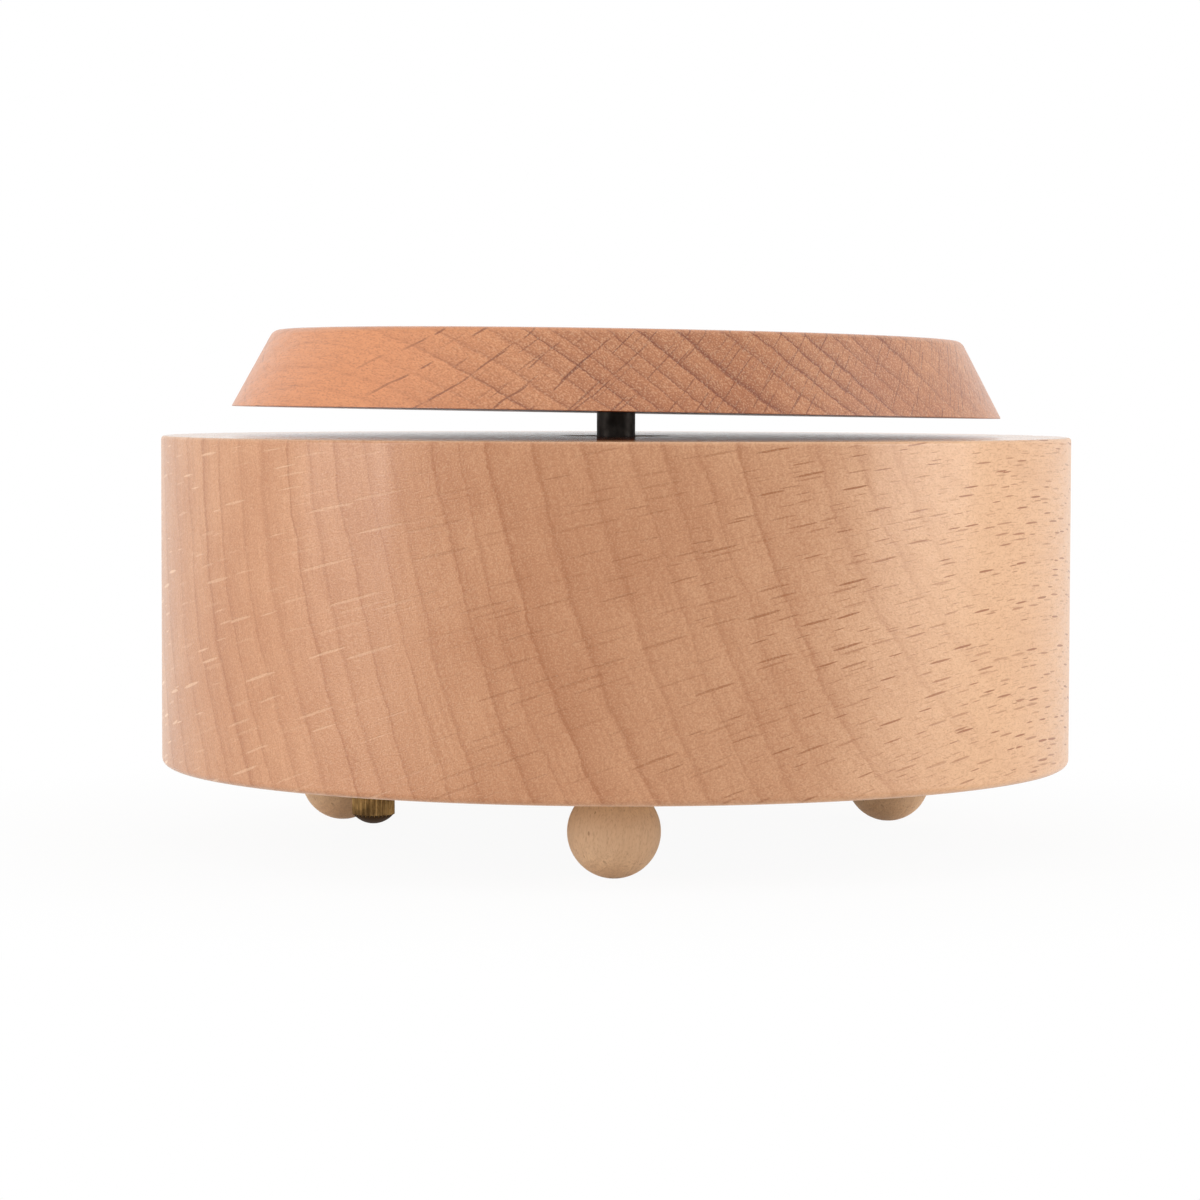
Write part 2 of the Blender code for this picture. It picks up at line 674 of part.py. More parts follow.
def movement_screw_z():
    return BEDPLATE_BOTTOM_Z - GAP - MOVEMENT_SCREW.head_height


def build_cover(case):
    """The bottom board, let in flush, and the screws that hold it to the ledge."""
    cover = add_piece(
        "bottom_cover",
        rod(COVER_DIAMETER / 2, 0, COVER_THICKNESS, LARGE_ROUND_STEPS),
        plywood(),
        case,
        (0, 0, BASE_BOTTOM_Z),
    )
    through = COVER_TOP_Z + OVERCUT
    below = BASE_BOTTOM_Z - OVERCUT
    holes = [
        moved(rod(DOWEL_DIAMETER / 2 + GAP, below, through, TINY_ROUND_STEPS), (x, y, 0))
        for x, y in foot_places()
    ]
    holes.append(
        moved(rod(STOP_BUSH_DIAMETER / 2 + GAP, below, through, SMALL_ROUND_STEPS), (*stop_place(), 0))
    )
    for index, (x, y) in enumerate(cover_screw_places(), 1):
        holes.append(moved(COVER_SCREW.hole(COVER_THICKNESS + OVERCUT), (x, y, BASE_BOTTOM_Z)))
        add_screw(f"cover_screw_{index}", COVER_SCREW, case, (x, y, BASE_BOTTOM_Z))
    cut(cover, together(holes))


def build_feet(case):
    """Three balls with a flat seat, each on a dowel that goes through the cover into the drum."""
    radius = FOOT_DIAMETER / 2
    seat = FOOT_SEAT_DIAMETER / 2
    rest = FOOT_REST_DIAMETER / 2
    bore = DOWEL_DIAMETER / 2 + GAP
    seat_z = FOOT_SEAT_Z - FOOT_CENTRE_Z
    bore_z = seat_z - DOWEL_DEPTH_IN_FOOT
    profile = [(0, bore_z), (bore, bore_z), (bore, seat_z)]
    profile += arc((0, 0), radius, math.acos(seat / radius), -math.acos(rest / radius), FOOT_ARC_STEPS)
    profile.append((0, -FOOT_CENTRE_Z))
    dowel_bottom = FOOT_CENTRE_Z + bore_z + GAP
    dowel_top = LEDGE_Z + DOWEL_DEPTH_IN_DRUM - GAP
    dowel_length = dowel_top - dowel_bottom
    tapered = DOWEL_DIAMETER / 2 - DOWEL_CHAMFER
    dowel_profile = [
        (0, 0),
        (tapered, 0),
        (DOWEL_DIAMETER / 2, DOWEL_CHAMFER),
        (DOWEL_DIAMETER / 2, dowel_length - DOWEL_CHAMFER),
        (tapered, dowel_length),
        (0, dowel_length),
    ]
    for name, (x, y) in zip(FOOT_NAMES, foot_places()):
        foot = turned(profile, BALL_ROUND_STEPS)
        add_piece(f"ball_foot_{name}", foot, bare_beech(), case, (x, y, FOOT_CENTRE_Z))
        dowel = turned(dowel_profile, TINY_ROUND_STEPS)
        add_piece(f"foot_dowel_{name}", dowel, bare_beech(), case, (x, y, dowel_bottom))


def bedplate_screw_places():
    """Middles of the bracket flanges and of the governor frame's flange, in that order."""
    return [
        (-(INNER_BRACKET_FAR + BRACKET_FLANGE_LENGTH / 2), 0),
        (-(OUTER_CHEEK_NEAR - BRACKET_FLANGE_LENGTH / 2), 0),
        (-(OUTER_CHEEK_NEAR - BRACKET_FLANGE_LENGTH / 2), WORM_Y),
        (WORM_X, WORM_WHEEL_AXIS.x),
    ]


def comb_screw_places():
    return [(-(COMB_NEAR + COMB_SCREW_INSET), COMB_SCREW_Y), (-(COMB_FAR - COMB_SCREW_INSET), COMB_SCREW_Y)]


def stop_place():
    """The stop rod stands under the path of the fan's blades."""
    return Vector((WORM_X, WORM_Y)) + polar(STOP_RADIUS_UNDER_FAN, STOP_ANGLE_UNDER_FAN)


def pillar_places():
    return [polar(BARREL_PILLAR_CIRCLE_RADIUS, angle) for angle in BARREL_PILLAR_ANGLES]


def build_bedplate(case):
    """The clipped plate that carries the movement, screwed up under the top board."""
    left, right, front, back = -OUTER_CHEEK_FAR, BEDPLATE_RIGHT, -BEDPLATE_FRONT, BEDPLATE_BACK
    clip = BEDPLATE_CORNER
    outline = [
        (left + clip, front),
        (right - clip, front),
        (right, front + clip),
        (right, back - clip),
        (right - clip, back),
        (left + clip, back),
        (left, back - clip),
        (left, front + clip),
    ]
    bedplate = add_piece(
        "bedplate", extruded(outline, 0, BEDPLATE_THICKNESS), nickel_plate(), case, (0, 0, BEDPLATE_BOTTOM_Z)
    )
    below = BEDPLATE_BOTTOM_Z - OVERCUT
    above = BEDPLATE_TOP_Z + OVERCUT
    holes = [rod(BUSH_DIAMETER / 2 + GAP, below, above, SMALL_ROUND_STEPS)]
    for index, (x, y) in enumerate(MOVEMENT_SCREW_PLACES, 1):
        holes.append(
            moved(rod(MOVEMENT_SCREW.shank_radius + GAP, below, above, TINY_ROUND_STEPS), (x, y, 0))
        )
        add_screw(f"movement_screw_{index}", MOVEMENT_SCREW, case, (x, y, movement_screw_z()))
    downwards = (math.pi, 0, 0)
    for index, (x, y) in enumerate(bedplate_screw_places(), 1):
        place = (x, y, BEDPLATE_TOP_Z)
        holes.append(moved(BEDPLATE_SCREW.hole(BEDPLATE_THICKNESS + OVERCUT), place, downwards))
        add_screw(f"bedplate_screw_{index}", BEDPLATE_SCREW, case, place, downwards)
    holes += [
        moved(rod(COMB_SCREW.shank_radius + GAP, below, above, TINY_ROUND_STEPS), (x, y, 0))
        for x, y in comb_screw_places()
    ]
    holes += [
        moved(rod(BARREL_PILLAR_END_DIAMETER / 2 + GAP, below, above, TINY_ROUND_STEPS), (x, y, 0))
        for x, y in pillar_places()
    ]
    cut(bedplate, together(holes))


def build_arbor_bush(case):
    """The flanged bush that the winding arbor turns in."""
    radius = BUSH_DIAMETER / 2
    flange = BUSH_FLANGE_DIAMETER / 2
    bore = ARBOR_DIAMETER / 2 + GAP
    height = BEDPLATE_TOP_Z + GAP - BEDPLATE_BOTTOM_Z
    top = height + BUSH_FLANGE_THICKNESS
    profile = [(bore, 0), (radius, 0), (radius, height), (flange, height), (flange, top), (bore, top)]
    add_piece("arbor_bush", turned(profile, SMALL_ROUND_STEPS), brass(), case, (0, 0, BEDPLATE_BOTTOM_Z))


def eared_outline():
    """A disc a little larger than the barrel, with a round-ended ear out to each pillar."""
    radius = BARREL_DIAMETER / 2 + BARREL_RIM
    half = BARREL_EAR_WIDTH / 2
    spread = math.asin(half / radius)
    angles = sorted(angle % (2 * math.pi) for angle in BARREL_PILLAR_ANGLES)
    outline = []
    for ear, angle in enumerate(angles):
        centre = polar(BARREL_PILLAR_CIRCLE_RADIUS, angle)
        for step in range(BARREL_EAR_STEPS + 1):
            outline.append(centre + polar(half, angle - math.pi / 2 + math.pi * step / BARREL_EAR_STEPS))
        following = angles[ear + 1] if ear + 1 < len(angles) else angles[0] + 2 * math.pi
        start = angle + spread
        arc_angle = following - spread - start
        steps = max(1, round(MEDIUM_ROUND_STEPS * arc_angle / (2 * math.pi)))
        outline += [polar(radius, start + arc_angle * step / steps) for step in range(steps + 1)]
    return outline


def build_barrel(case):
    """The fixed spring barrel under the crown wheel, with its lid, pillars and mainspring."""
    ear_bottom = BARREL_TOP_Z - BARREL_WALL
    outline = eared_outline()
    barrel_plate = extruded(outline, 0, BARREL_WALL)
    barrel = add_piece("spring_barrel", barrel_plate, brass(), case, (0, 0, ear_bottom))
    cup_top = BARREL_TOP_Z - BARREL_WALL / 2
    join(barrel, rod(BARREL_DIAMETER / 2, BARREL_BOTTOM_Z, cup_top, MEDIUM_ROUND_STEPS))
    inside = BARREL_DIAMETER / 2 - BARREL_WALL
    hollow = rod(inside, BARREL_FLOOR_Z, BARREL_TOP_Z + OVERCUT, MEDIUM_ROUND_STEPS)
    cut(barrel, together([hollow, *pillar_holes(ear_bottom, BARREL_TOP_Z)]))
    pivot = ARBOR_PIVOT_DIAMETER / 2 + GAP
    cut(barrel, rod(pivot, BARREL_BOTTOM_Z - OVERCUT, BARREL_FLOOR_Z + OVERCUT, TINY_ROUND_STEPS))
    lid_plate = extruded(outline, 0, BARREL_LID_THICKNESS)
    lid = add_piece("barrel_lid", lid_plate, brass(), case, (0, 0, LID_BOTTOM_Z))
    arbor_hole = rod(
        ARBOR_DIAMETER / 2 + GAP, LID_BOTTOM_Z - OVERCUT, LID_TOP_Z + OVERCUT, SMALL_ROUND_STEPS
    )
    cut(lid, together([arbor_hole, *pillar_holes(LID_BOTTOM_Z, LID_TOP_Z)]))
    build_pillars(case)
    build_mainspring(case)


def pillar_holes(bottom, top):
    radius = BARREL_PILLAR_END_DIAMETER / 2 + GAP
    hole_ends = (bottom - OVERCUT, top + OVERCUT)
    return [moved(rod(radius, *hole_ends, TINY_ROUND_STEPS), (x, y, 0)) for x, y in pillar_places()]


def build_pillars(case):
    """Pillars riveted over under the barrel's ears and into the bedplate."""
    end = BARREL_PILLAR_END_DIAMETER / 2
    body = BARREL_PILLAR_DIAMETER / 2
    head_top = BARREL_TOP_Z - BARREL_WALL - GAP
    bottom = head_top - BARREL_PILLAR_HEAD_HEIGHT
    shoulder = LID_TOP_Z + GAP
    profile = [
        (0, 0),
        (body, 0),
        (body, head_top - bottom),
        (end, head_top - bottom),
        (end, shoulder - bottom),
        (body, shoulder - bottom),
        (body, BRACKET_TOP_Z - bottom),
        (end, BRACKET_TOP_Z - bottom),
        (end, BEDPLATE_TOP_Z - bottom),
        (0, BEDPLATE_TOP_Z - bottom),
    ]
    for index, (x, y) in enumerate(pillar_places(), 1):
        pillar = turned(profile, TINY_ROUND_STEPS)
        add_piece(f"barrel_pillar_{index}", pillar, bright_steel(), case, (x, y, bottom))


def build_mainspring(case):
    """A flat spiral from the arbor's core out to the barrel's wall."""
    bottom = BARREL_FLOOR_Z + GAP
    top = BARREL_TOP_Z - GAP
    half = MAINSPRING_THICKNESS / 2
    start = ARBOR_CORE_DIAMETER / 2 + 2 * GAP + half
    end = BARREL_DIAMETER / 2 - BARREL_WALL - GAP - half
    steps = MAINSPRING_TURNS * MAINSPRING_STEPS_PER_TURN
    sections = []
    for step in range(steps + 1):
        angle = 2 * math.pi * step / MAINSPRING_STEPS_PER_TURN
        radius = start + (end - start) * step / steps
        inner = polar(radius - half, angle)
        outer = polar(radius + half, angle)
        sections.append([(*inner, 0), (*outer, 0), (*outer, top - bottom), (*inner, top - bottom)])
    add_piece("mainspring", swept(sections), spring_steel(), case, (0, 0, bottom))


def note_x(note):
    return -(CYLINDER_NEAR + CYLINDER_END_MARGIN + note * NOTE_SPACING)


def build_comb(case):
    """The steel comb: teeth of growing length cut from one plate, on its base."""
    half = COMB_TOOTH_WIDTH / 2
    outline = [(-COMB_FAR, COMB_BACK), (-COMB_NEAR, COMB_BACK)]
    for note in range(NOTE_COUNT):
        length = COMB_SHORT_TOOTH + (COMB_LONG_TOOTH - COMB_SHORT_TOOTH) * note / (NOTE_COUNT - 1)
        root = COMB_TIP_Y + length
        x = note_x(note)
        outline += [(x + half, root), (x + half, COMB_TIP_Y), (x - half, COMB_TIP_Y), (x - half, root)]
    tooth_top = COMB_TOOTH_THICKNESS / 2
    comb = add_piece(
        "comb", extruded(outline, -tooth_top, tooth_top), spring_steel(), case, (0, 0, CYLINDER_Z)
    )
    body = block(
        (-COMB_FAR - GAP, COMB_BASE_FRONT, COMB_BODY_BOTTOM_Z),
        (-COMB_NEAR + GAP, COMB_BACK + GAP, COMB_BODY_TOP_Z),
    )
    join(comb, body)
    base_bottom = COMB_BODY_TOP_Z + GAP
    base = add_piece(
        "comb_base",
        block(
            (-COMB_FAR, COMB_BASE_FRONT, 0),
            (-COMB_NEAR, COMB_BACK, BRACKET_TOP_Z - base_bottom),
        ),
        nickel_plate(),
        case,
        (0, 0, base_bottom),
    )
    shank = COMB_SCREW.shank_radius + GAP
    for piece, bottom, top in (
        (comb, COMB_BODY_BOTTOM_Z, COMB_BODY_TOP_Z),
        (base, base_bottom, BRACKET_TOP_Z),
    ):
        holes = [
            moved(rod(shank, bottom - OVERCUT, top + OVERCUT, TINY_ROUND_STEPS), (x, y, 0))
            for x, y in comb_screw_places()
        ]
        cut(piece, together(holes))
    head_z = COMB_BODY_BOTTOM_Z - GAP - COMB_SCREW.head_height
    for index, (x, y) in enumerate(comb_screw_places(), 1):
        add_screw(f"comb_screw_{index}", COMB_SCREW, case, (x, y, head_z))


def build_cylinder_brackets(case):
    """Bent sheet brackets that hold the cylinder's arbor at both ends."""
    half = BRACKET_WIDTH / 2
    bore = CYLINDER_ARBOR_DIAMETER / 2 + GAP
    bottom = CYLINDER_Z - bore - BRACKET_END_WALL
    screws = bedplate_screw_places()
    for name, near, far, flange_near, flange_far, screw in (
        (
            "inner_bracket",
            INNER_BRACKET_NEAR,
            INNER_BRACKET_FAR,
            INNER_BRACKET_NEAR,
            INNER_BRACKET_FAR + BRACKET_FLANGE_LENGTH,
            screws[0],
        ),
        (
            "outer_bracket",
            OUTER_CHEEK_NEAR,
            OUTER_CHEEK_FAR,
            OUTER_CHEEK_NEAR - BRACKET_FLANGE_LENGTH,
            OUTER_CHEEK_FAR,
            screws[1],
        ),
    ):
        upright = [
            (bottom, -half / 2),
            (bottom, half / 2),
            (CYLINDER_Z + bore, half),
            (BRACKET_TOP_Z, half),
            (BRACKET_TOP_Z, -half),
            (CYLINDER_Z + bore, -half),
        ]
        plate = extruded([(CYLINDER_Z - z, y) for z, y in upright], 0, far - near)
        bracket = add_piece(name, plate, brass(), case, (-far, 0, CYLINDER_Z), (0, math.pi / 2, 0))
        flange = block((-flange_far, -half, BRACKET_FLANGE_BOTTOM_Z), (-flange_near, half, BRACKET_TOP_Z))
        join(bracket, flange)
        lying = (0, math.pi / 2, 0)
        bearing = rod(bore, -OVERCUT, far - near + OVERCUT, TINY_ROUND_STEPS)
        cut(bracket, bearing, (-far, 0, CYLINDER_Z), lying)
        cut(bracket, flange_hole(screw))


def flange_hole(screw_place):
    radius = BEDPLATE_SCREW.shank_radius + GAP
    hole = rod(radius, BRACKET_FLANGE_BOTTOM_Z - OVERCUT, BRACKET_TOP_Z + OVERCUT, TINY_ROUND_STEPS)
    return moved(hole, (*screw_place, 0))


def build_governor_frame(case):
    """One bent frame: a flange under the bedplate, two cheeks for the wheels and a seat for the worm."""
    pivot = TRAIN_PIVOT_DIAMETER / 2 + GAP
    arbor = TRAIN_ARBOR_DIAMETER / 2 + GAP
    front = FRAME_FRONT_Y
    back = FIRST_AXIS.x + pivot + BEARING_WALL
    leg_front = WORM_Y - FAN_DIAMETER / 2 - 2 * RUNNING_GAP - FRAME_LEG_WIDTH
    cheek_bottom = FAN_TOP_Z + 2 * RUNNING_GAP
    flange_right = WORM_X + pivot + 2 * BEARING_WALL
    frame = add_piece(
        "governor_frame",
        block(
            (-OUTER_CHEEK_FAR, front, 0),
            (flange_right, back, SHEET_THICKNESS),
        ),
        brass(),
        case,
        (0, 0, BRACKET_FLANGE_BOTTOM_Z),
    )
    overlap = SHEET_THICKNESS / 2
    join(
        frame,
        block(
            (-OUTER_CHEEK_FAR, front, cheek_bottom),
            (-OUTER_CHEEK_NEAR, back, BRACKET_FLANGE_BOTTOM_Z + overlap),
        ),
    )
    join(
        frame,
        block(
            (-INNER_CHEEK_FAR, leg_front, cheek_bottom),
            (-INNER_CHEEK_NEAR, back, BRACKET_FLANGE_BOTTOM_Z + overlap),
        ),
    )
    seat_half = FRAME_SEAT_WIDTH / 2
    join(
        frame,
        block(
            (-INNER_CHEEK_FAR, leg_front, FRAME_SEAT_BOTTOM_Z),
            (WORM_X + seat_half, leg_front + FRAME_LEG_WIDTH, cheek_bottom + SHEET_THICKNESS),
        ),
    )
    join(
        frame,
        block(
            (WORM_X - seat_half, leg_front + overlap, FRAME_SEAT_BOTTOM_Z),
            (WORM_X + seat_half, WORM_Y + seat_half, FRAME_SEAT_TOP_Z),
        ),
    )
    lying = (0, math.pi / 2, 0)
    bores = [
        moved(rod(pivot, -OVERCUT, SHEET_THICKNESS + OVERCUT, TINY_ROUND_STEPS), (x, y, z), lying)
        for x, (y, z) in (
            (-OUTER_CHEEK_FAR, FIRST_AXIS),
            (-OUTER_CHEEK_FAR, WORM_WHEEL_AXIS),
            (-INNER_CHEEK_FAR, FIRST_AXIS),
        )
    ]
    place = (-INNER_CHEEK_FAR, *WORM_WHEEL_AXIS)
    bores.append(moved(rod(arbor, -OVERCUT, SHEET_THICKNESS + OVERCUT, TINY_ROUND_STEPS), place, lying))
    for z in (FRAME_SEAT_BOTTOM_Z, BRACKET_FLANGE_BOTTOM_Z):
        bore = rod(pivot, -OVERCUT, SHEET_THICKNESS + OVERCUT, TINY_ROUND_STEPS)
        bores.append(moved(bore, (WORM_X, WORM_Y, z)))
    bores += [flange_hole(screw) for screw in bedplate_screw_places()[2:]]
    cut(frame, together(bores))


def disc_shape():
    """The tapered disc, with a recess for the flange and a socket for the shaft under it."""
    low = DISC_LOWER_DIAMETER / 2
    high = DISC_UPPER_DIAMETER / 2
    side = math.hypot(low - high, DISC_THICKNESS)
    out = DISC_THICKNESS / side
    up = (low - high) / side
    centre_z = DISC_THICKNESS - DISC_EDGE_ROUND
    centre = (low - (DISC_EDGE_ROUND + up * centre_z) / out, centre_z)
    socket = SHAFT_DIAMETER / 2 + GAP + DISC_SOCKET_DEPTH * math.tan(DISC_LEAN)
    recess = FLANGE_DIAMETER / 2 + GAP
    recess_depth = FLANGE_THICKNESS + GAP
    profile = [(0, DISC_SOCKET_DEPTH), (socket, DISC_SOCKET_DEPTH), (socket, recess_depth)]
    profile += [(recess, recess_depth), (recess, 0), (low, 0)]
    profile += arc(centre, DISC_EDGE_ROUND, math.atan2(up, out), math.pi / 2, EDGE_STEPS)
    profile.append((0, DISC_THICKNESS))
    return turned(profile, LARGE_ROUND_STEPS)


def build_turntable(case):
    """All that turns with the winding arbor: disc, flange, shaft, arbor, ratchet and crown wheel."""
    turntable = axis("turntable_axis", (0, 0, 0), case)
    towards = Matrix.Rotation(DISC_LEAN_TOWARDS, 3, "Z")
    lean = towards @ Matrix.Rotation(DISC_LEAN, 3, "Y") @ towards.inverted()
    leaning = axis("leaning_disc", (0, 0, DISC_BOTTOM_Z), turntable, lean.to_euler())
    disc = add_piece("turntable_disc", disc_shape(), lacquered_beech(), leaning)
    shaft_clearance = SHAFT_DIAMETER / 2 + GAP + FLANGE_THICKNESS * math.tan(DISC_LEAN)
    flange_shape = tube(FLANGE_DIAMETER / 2, shaft_clearance, 0, FLANGE_THICKNESS, MEDIUM_ROUND_STEPS)
    flange = add_piece("disc_flange", flange_shape, blackened_steel(), leaning)
    pilots = []
    countersinks = []
    for index in range(FLANGE_SCREW_COUNT):
        angle = FIRST_FOOT_ANGLE + 2 * math.pi * index / FLANGE_SCREW_COUNT
        place = (*polar(FLANGE_SCREW_CIRCLE_DIAMETER / 2, angle), 0)
        add_screw(f"flange_screw_{index + 1}", FLANGE_SCREW, leaning, place, material=blackened_steel())
        depth = FLANGE_SCREW.length + GAP
        pilots.append(moved(rod(FLANGE_SCREW.shank_radius + GAP, 0, depth, TINY_ROUND_STEPS), place))
        countersinks.append(moved(FLANGE_SCREW.hole(FLANGE_THICKNESS + OVERCUT), place))
    cut(disc, together(pilots), parent=leaning)
    cut(flange, together(countersinks), parent=leaning)
    build_shaft(turntable)
    build_arbor(turntable)
    build_ratchet(turntable)
    build_crown_wheel(turntable)


def shaft_bottom_z():
    return BEDPLATE_TOP_Z + GAP + BUSH_FLANGE_THICKNESS + RUNNING_GAP


def build_shaft(turntable):
    """The dark sleeve between the drum and the disc, bored for the arbor."""
    radius = SHAFT_DIAMETER / 2
    bore = ARBOR_DIAMETER / 2 + GAP
    bottom = shaft_bottom_z()
    length = DISC_BOTTOM_Z + DISC_SOCKET_DEPTH - GAP - bottom
    profile = [
        (0, SHAFT_BORE_DEPTH),
        (bore, SHAFT_BORE_DEPTH),
        (bore, 0),
        (radius, 0),
        (radius, length - SHAFT_CHAMFER),
        (radius - SHAFT_CHAMFER, length),
        (0, length),
    ]
    shaft = turned(profile, BALL_ROUND_STEPS)
    add_piece("turntable_shaft", shaft, blackened_steel(), turntable, (0, 0, bottom))


def build_arbor(turntable):
    """The winding arbor: pivot in the barrel's floor, thick core in the spring, long end in the shaft."""
    pivot = ARBOR_PIVOT_DIAMETER / 2
    core = ARBOR_CORE_DIAMETER / 2
    upper = ARBOR_DIAMETER / 2
    core_bottom = BARREL_FLOOR_Z + GAP
    core_top = BARREL_TOP_Z - GAP
    top = shaft_bottom_z() + SHAFT_BORE_DEPTH - GAP
    profile = [
        (0, BARREL_BOTTOM_Z),
        (pivot, BARREL_BOTTOM_Z),
        (pivot, core_bottom),
        (core, core_bottom),
        (core, core_top),
        (upper, core_top),
        (upper, top),
        (0, top),
    ]
    add_piece("winding_arbor", turned(profile, SMALL_ROUND_STEPS), bright_steel(), turntable)


def ratchet_face_angle():
    """Where the tooth face that the click leans on stands."""
    root = RATCHET_DIAMETER / 2 - RATCHET_TOOTH_HEIGHT
    return CLICK_ANGLE + (CLICK_NOSE_WIDTH / 2 + GAP) / root


def build_ratchet(turntable):
    """The saw-toothed wheel on the arbor, the click on the crown wheel and the click's spring."""
    tip = RATCHET_DIAMETER / 2
    root = tip - RATCHET_TOOTH_HEIGHT
    outline = []
    for tooth in range(RATCHET_TEETH):
        angle = ratchet_face_angle() + 2 * math.pi * tooth / RATCHET_TEETH
        outline += [polar(root, angle), polar(tip, angle)]
    at = (0, 0, RATCHET_BOTTOM_Z)
    wheel_shape = extruded(outline, 0, RATCHET_THICKNESS)
    wheel = add_piece("ratchet_wheel", wheel_shape, bright_steel(), turntable, at)
    bore = ARBOR_DIAMETER / 2 + GAP
    cut(wheel, rod(bore, -OVERCUT, RATCHET_THICKNESS + OVERCUT, SMALL_ROUND_STEPS), at)
    pivot = polar(CLICK_CIRCLE_RADIUS, 0)
    nose = polar(root + GAP, CLICK_ANGLE)
    along = (nose - pivot).normalized()
    aside = Vector((-along.y, along.x))
    boss = CLICK_BOSS_DIAMETER / 2
    start = math.atan2(aside.y, aside.x)
    half_turn = [math.pi * step / CLICK_BOSS_STEPS for step in range(CLICK_BOSS_STEPS + 1)]
    outline = [pivot + polar(boss, start + angle) for angle in half_turn]
    outline += [nose - aside * CLICK_NOSE_WIDTH / 2, nose + aside * CLICK_NOSE_WIDTH / 2]
    click_shape = extruded(outline, 0, RATCHET_THICKNESS)
    click = add_piece("click", click_shape, bright_steel(), turntable, at)
    hole = rod(CLICK_POST_DIAMETER / 2 + GAP, -OVERCUT, RATCHET_THICKNESS + OVERCUT, TINY_ROUND_STEPS)
    cut(click, hole, (*pivot, RATCHET_BOTTOM_Z))
    build_click_spring(turntable, (pivot + nose) / 2, aside)


def spring_post():
    return polar(CLICK_CIRCLE_RADIUS, CLICK_SPRING_ANGLE)


def build_click_spring(turntable, press_point, aside):
    """A thin bow from its post to the back of the click."""
    half = CLICK_SPRING_THICKNESS / 2
    outwards = -aside if aside.dot(press_point) < 0 else aside
    middle_half = (CLICK_BOSS_DIAMETER + CLICK_NOSE_WIDTH) / 4
    end = press_point + outwards * (middle_half + GAP + half)
    post_gap = CLICK_POST_DIAMETER / 2 + GAP + half
    start = spring_post() + polar(post_gap, CLICK_SPRING_ANGLE)
    bend = (start + end) / 2 + (start + end).normalized() * post_gap
    sections = []
    for step in range(CLICK_SPRING_STEPS + 1):
        t = step / CLICK_SPRING_STEPS
        point = (1 - t) ** 2 * start + 2 * t * (1 - t) * bend + t**2 * end
        heading = ((1 - t) * (bend - start) + t * (end - bend)).normalized()
        side = Vector((-heading.y, heading.x)) * half
        low = RATCHET_BOTTOM_Z
        high = low + RATCHET_THICKNESS
        left, right = point + side, point - side
        sections.append([(*left, low), (*right, low), (*right, high), (*left, high)])
    add_piece("click_spring", swept(sections), spring_steel(), turntable)


def build_crown_wheel(turntable):
    """The face-toothed wheel that the spring drives, with posts for the click and its spring."""
    inner = PINION_INNER
    outer = PINION_OUTER
    at = (0, 0, CROWN_BOTTOM_Z)
    bore = ARBOR_DIAMETER / 2 + GAP
    plate = tube(outer + CROWN_RIM, bore, 0, CROWN_PLATE_THICKNESS, MEDIUM_ROUND_STEPS)
    wheel = add_piece("crown_wheel", plate, brass(), turntable, at)
    half = CROWN_WHEEL.tooth_thickness / 2 / CROWN_WHEEL.pitch_radius
    sunk = CROWN_ROOT_Z - GAP
    levels = ((sunk, ROOT_SHARE * half), (CROWN_TIP_Z, TIP_SHARE * half))
    teeth = []
    for tooth in range(CROWN_TEETH):
        middle = math.pi + (tooth + 0.5) * CROWN_WHEEL.tooth_angle
        sections = []
        for z, spread in levels:
            section = [
                polar(inner, middle - spread),
                polar(outer, middle - spread),
                polar(outer, middle + spread),
                polar(inner, middle + spread),
            ]
            sections.append([(*point, z) for point in section])
        teeth.append(swept(sections))
    join(wheel, together(teeth))
    post_top = RATCHET_BOTTOM_Z + RATCHET_THICKNESS
    posts = [
        moved(rod(CLICK_POST_DIAMETER / 2, sunk, post_top, TINY_ROUND_STEPS), (*place, 0))
        for place in (polar(CLICK_CIRCLE_RADIUS, 0), spring_post())
    ]
    join(wheel, together(posts))


def wheel_angle(y, z):
    """A direction in the YZ plane, as an angle round a wheel that lies on its side."""
    return math.atan2(y, -z)


def add_wheel(name, gear, phase, near, far, bore, material, parent):
    """A gear on an arbor along X, between two distances out from the winding arbor."""
    lying = (0, math.pi / 2, 0)
    at = (-far, 0, 0)
    wheel = add_piece(name, extruded(gear.outline(phase), 0, far - near), material, parent, at, lying)
    if bore:
        hole = rod(bore, -OVERCUT, far - near + OVERCUT, TINY_ROUND_STEPS)
        cut(wheel, hole, at, lying, parent)
    return wheel


def arbor_profile(near, far, radius, pivot, shoulder_near, shoulder_far):
    """A rod from far to near, thinner outside its two shoulders."""
    return [
        (0, 0),
        (pivot, 0),
        (pivot, far - shoulder_far),
        (radius, far - shoulder_far),
        (radius, far - shoulder_near),
        (pivot, far - shoulder_near),
        (pivot, far - near),
        (0, far - near),
    ]


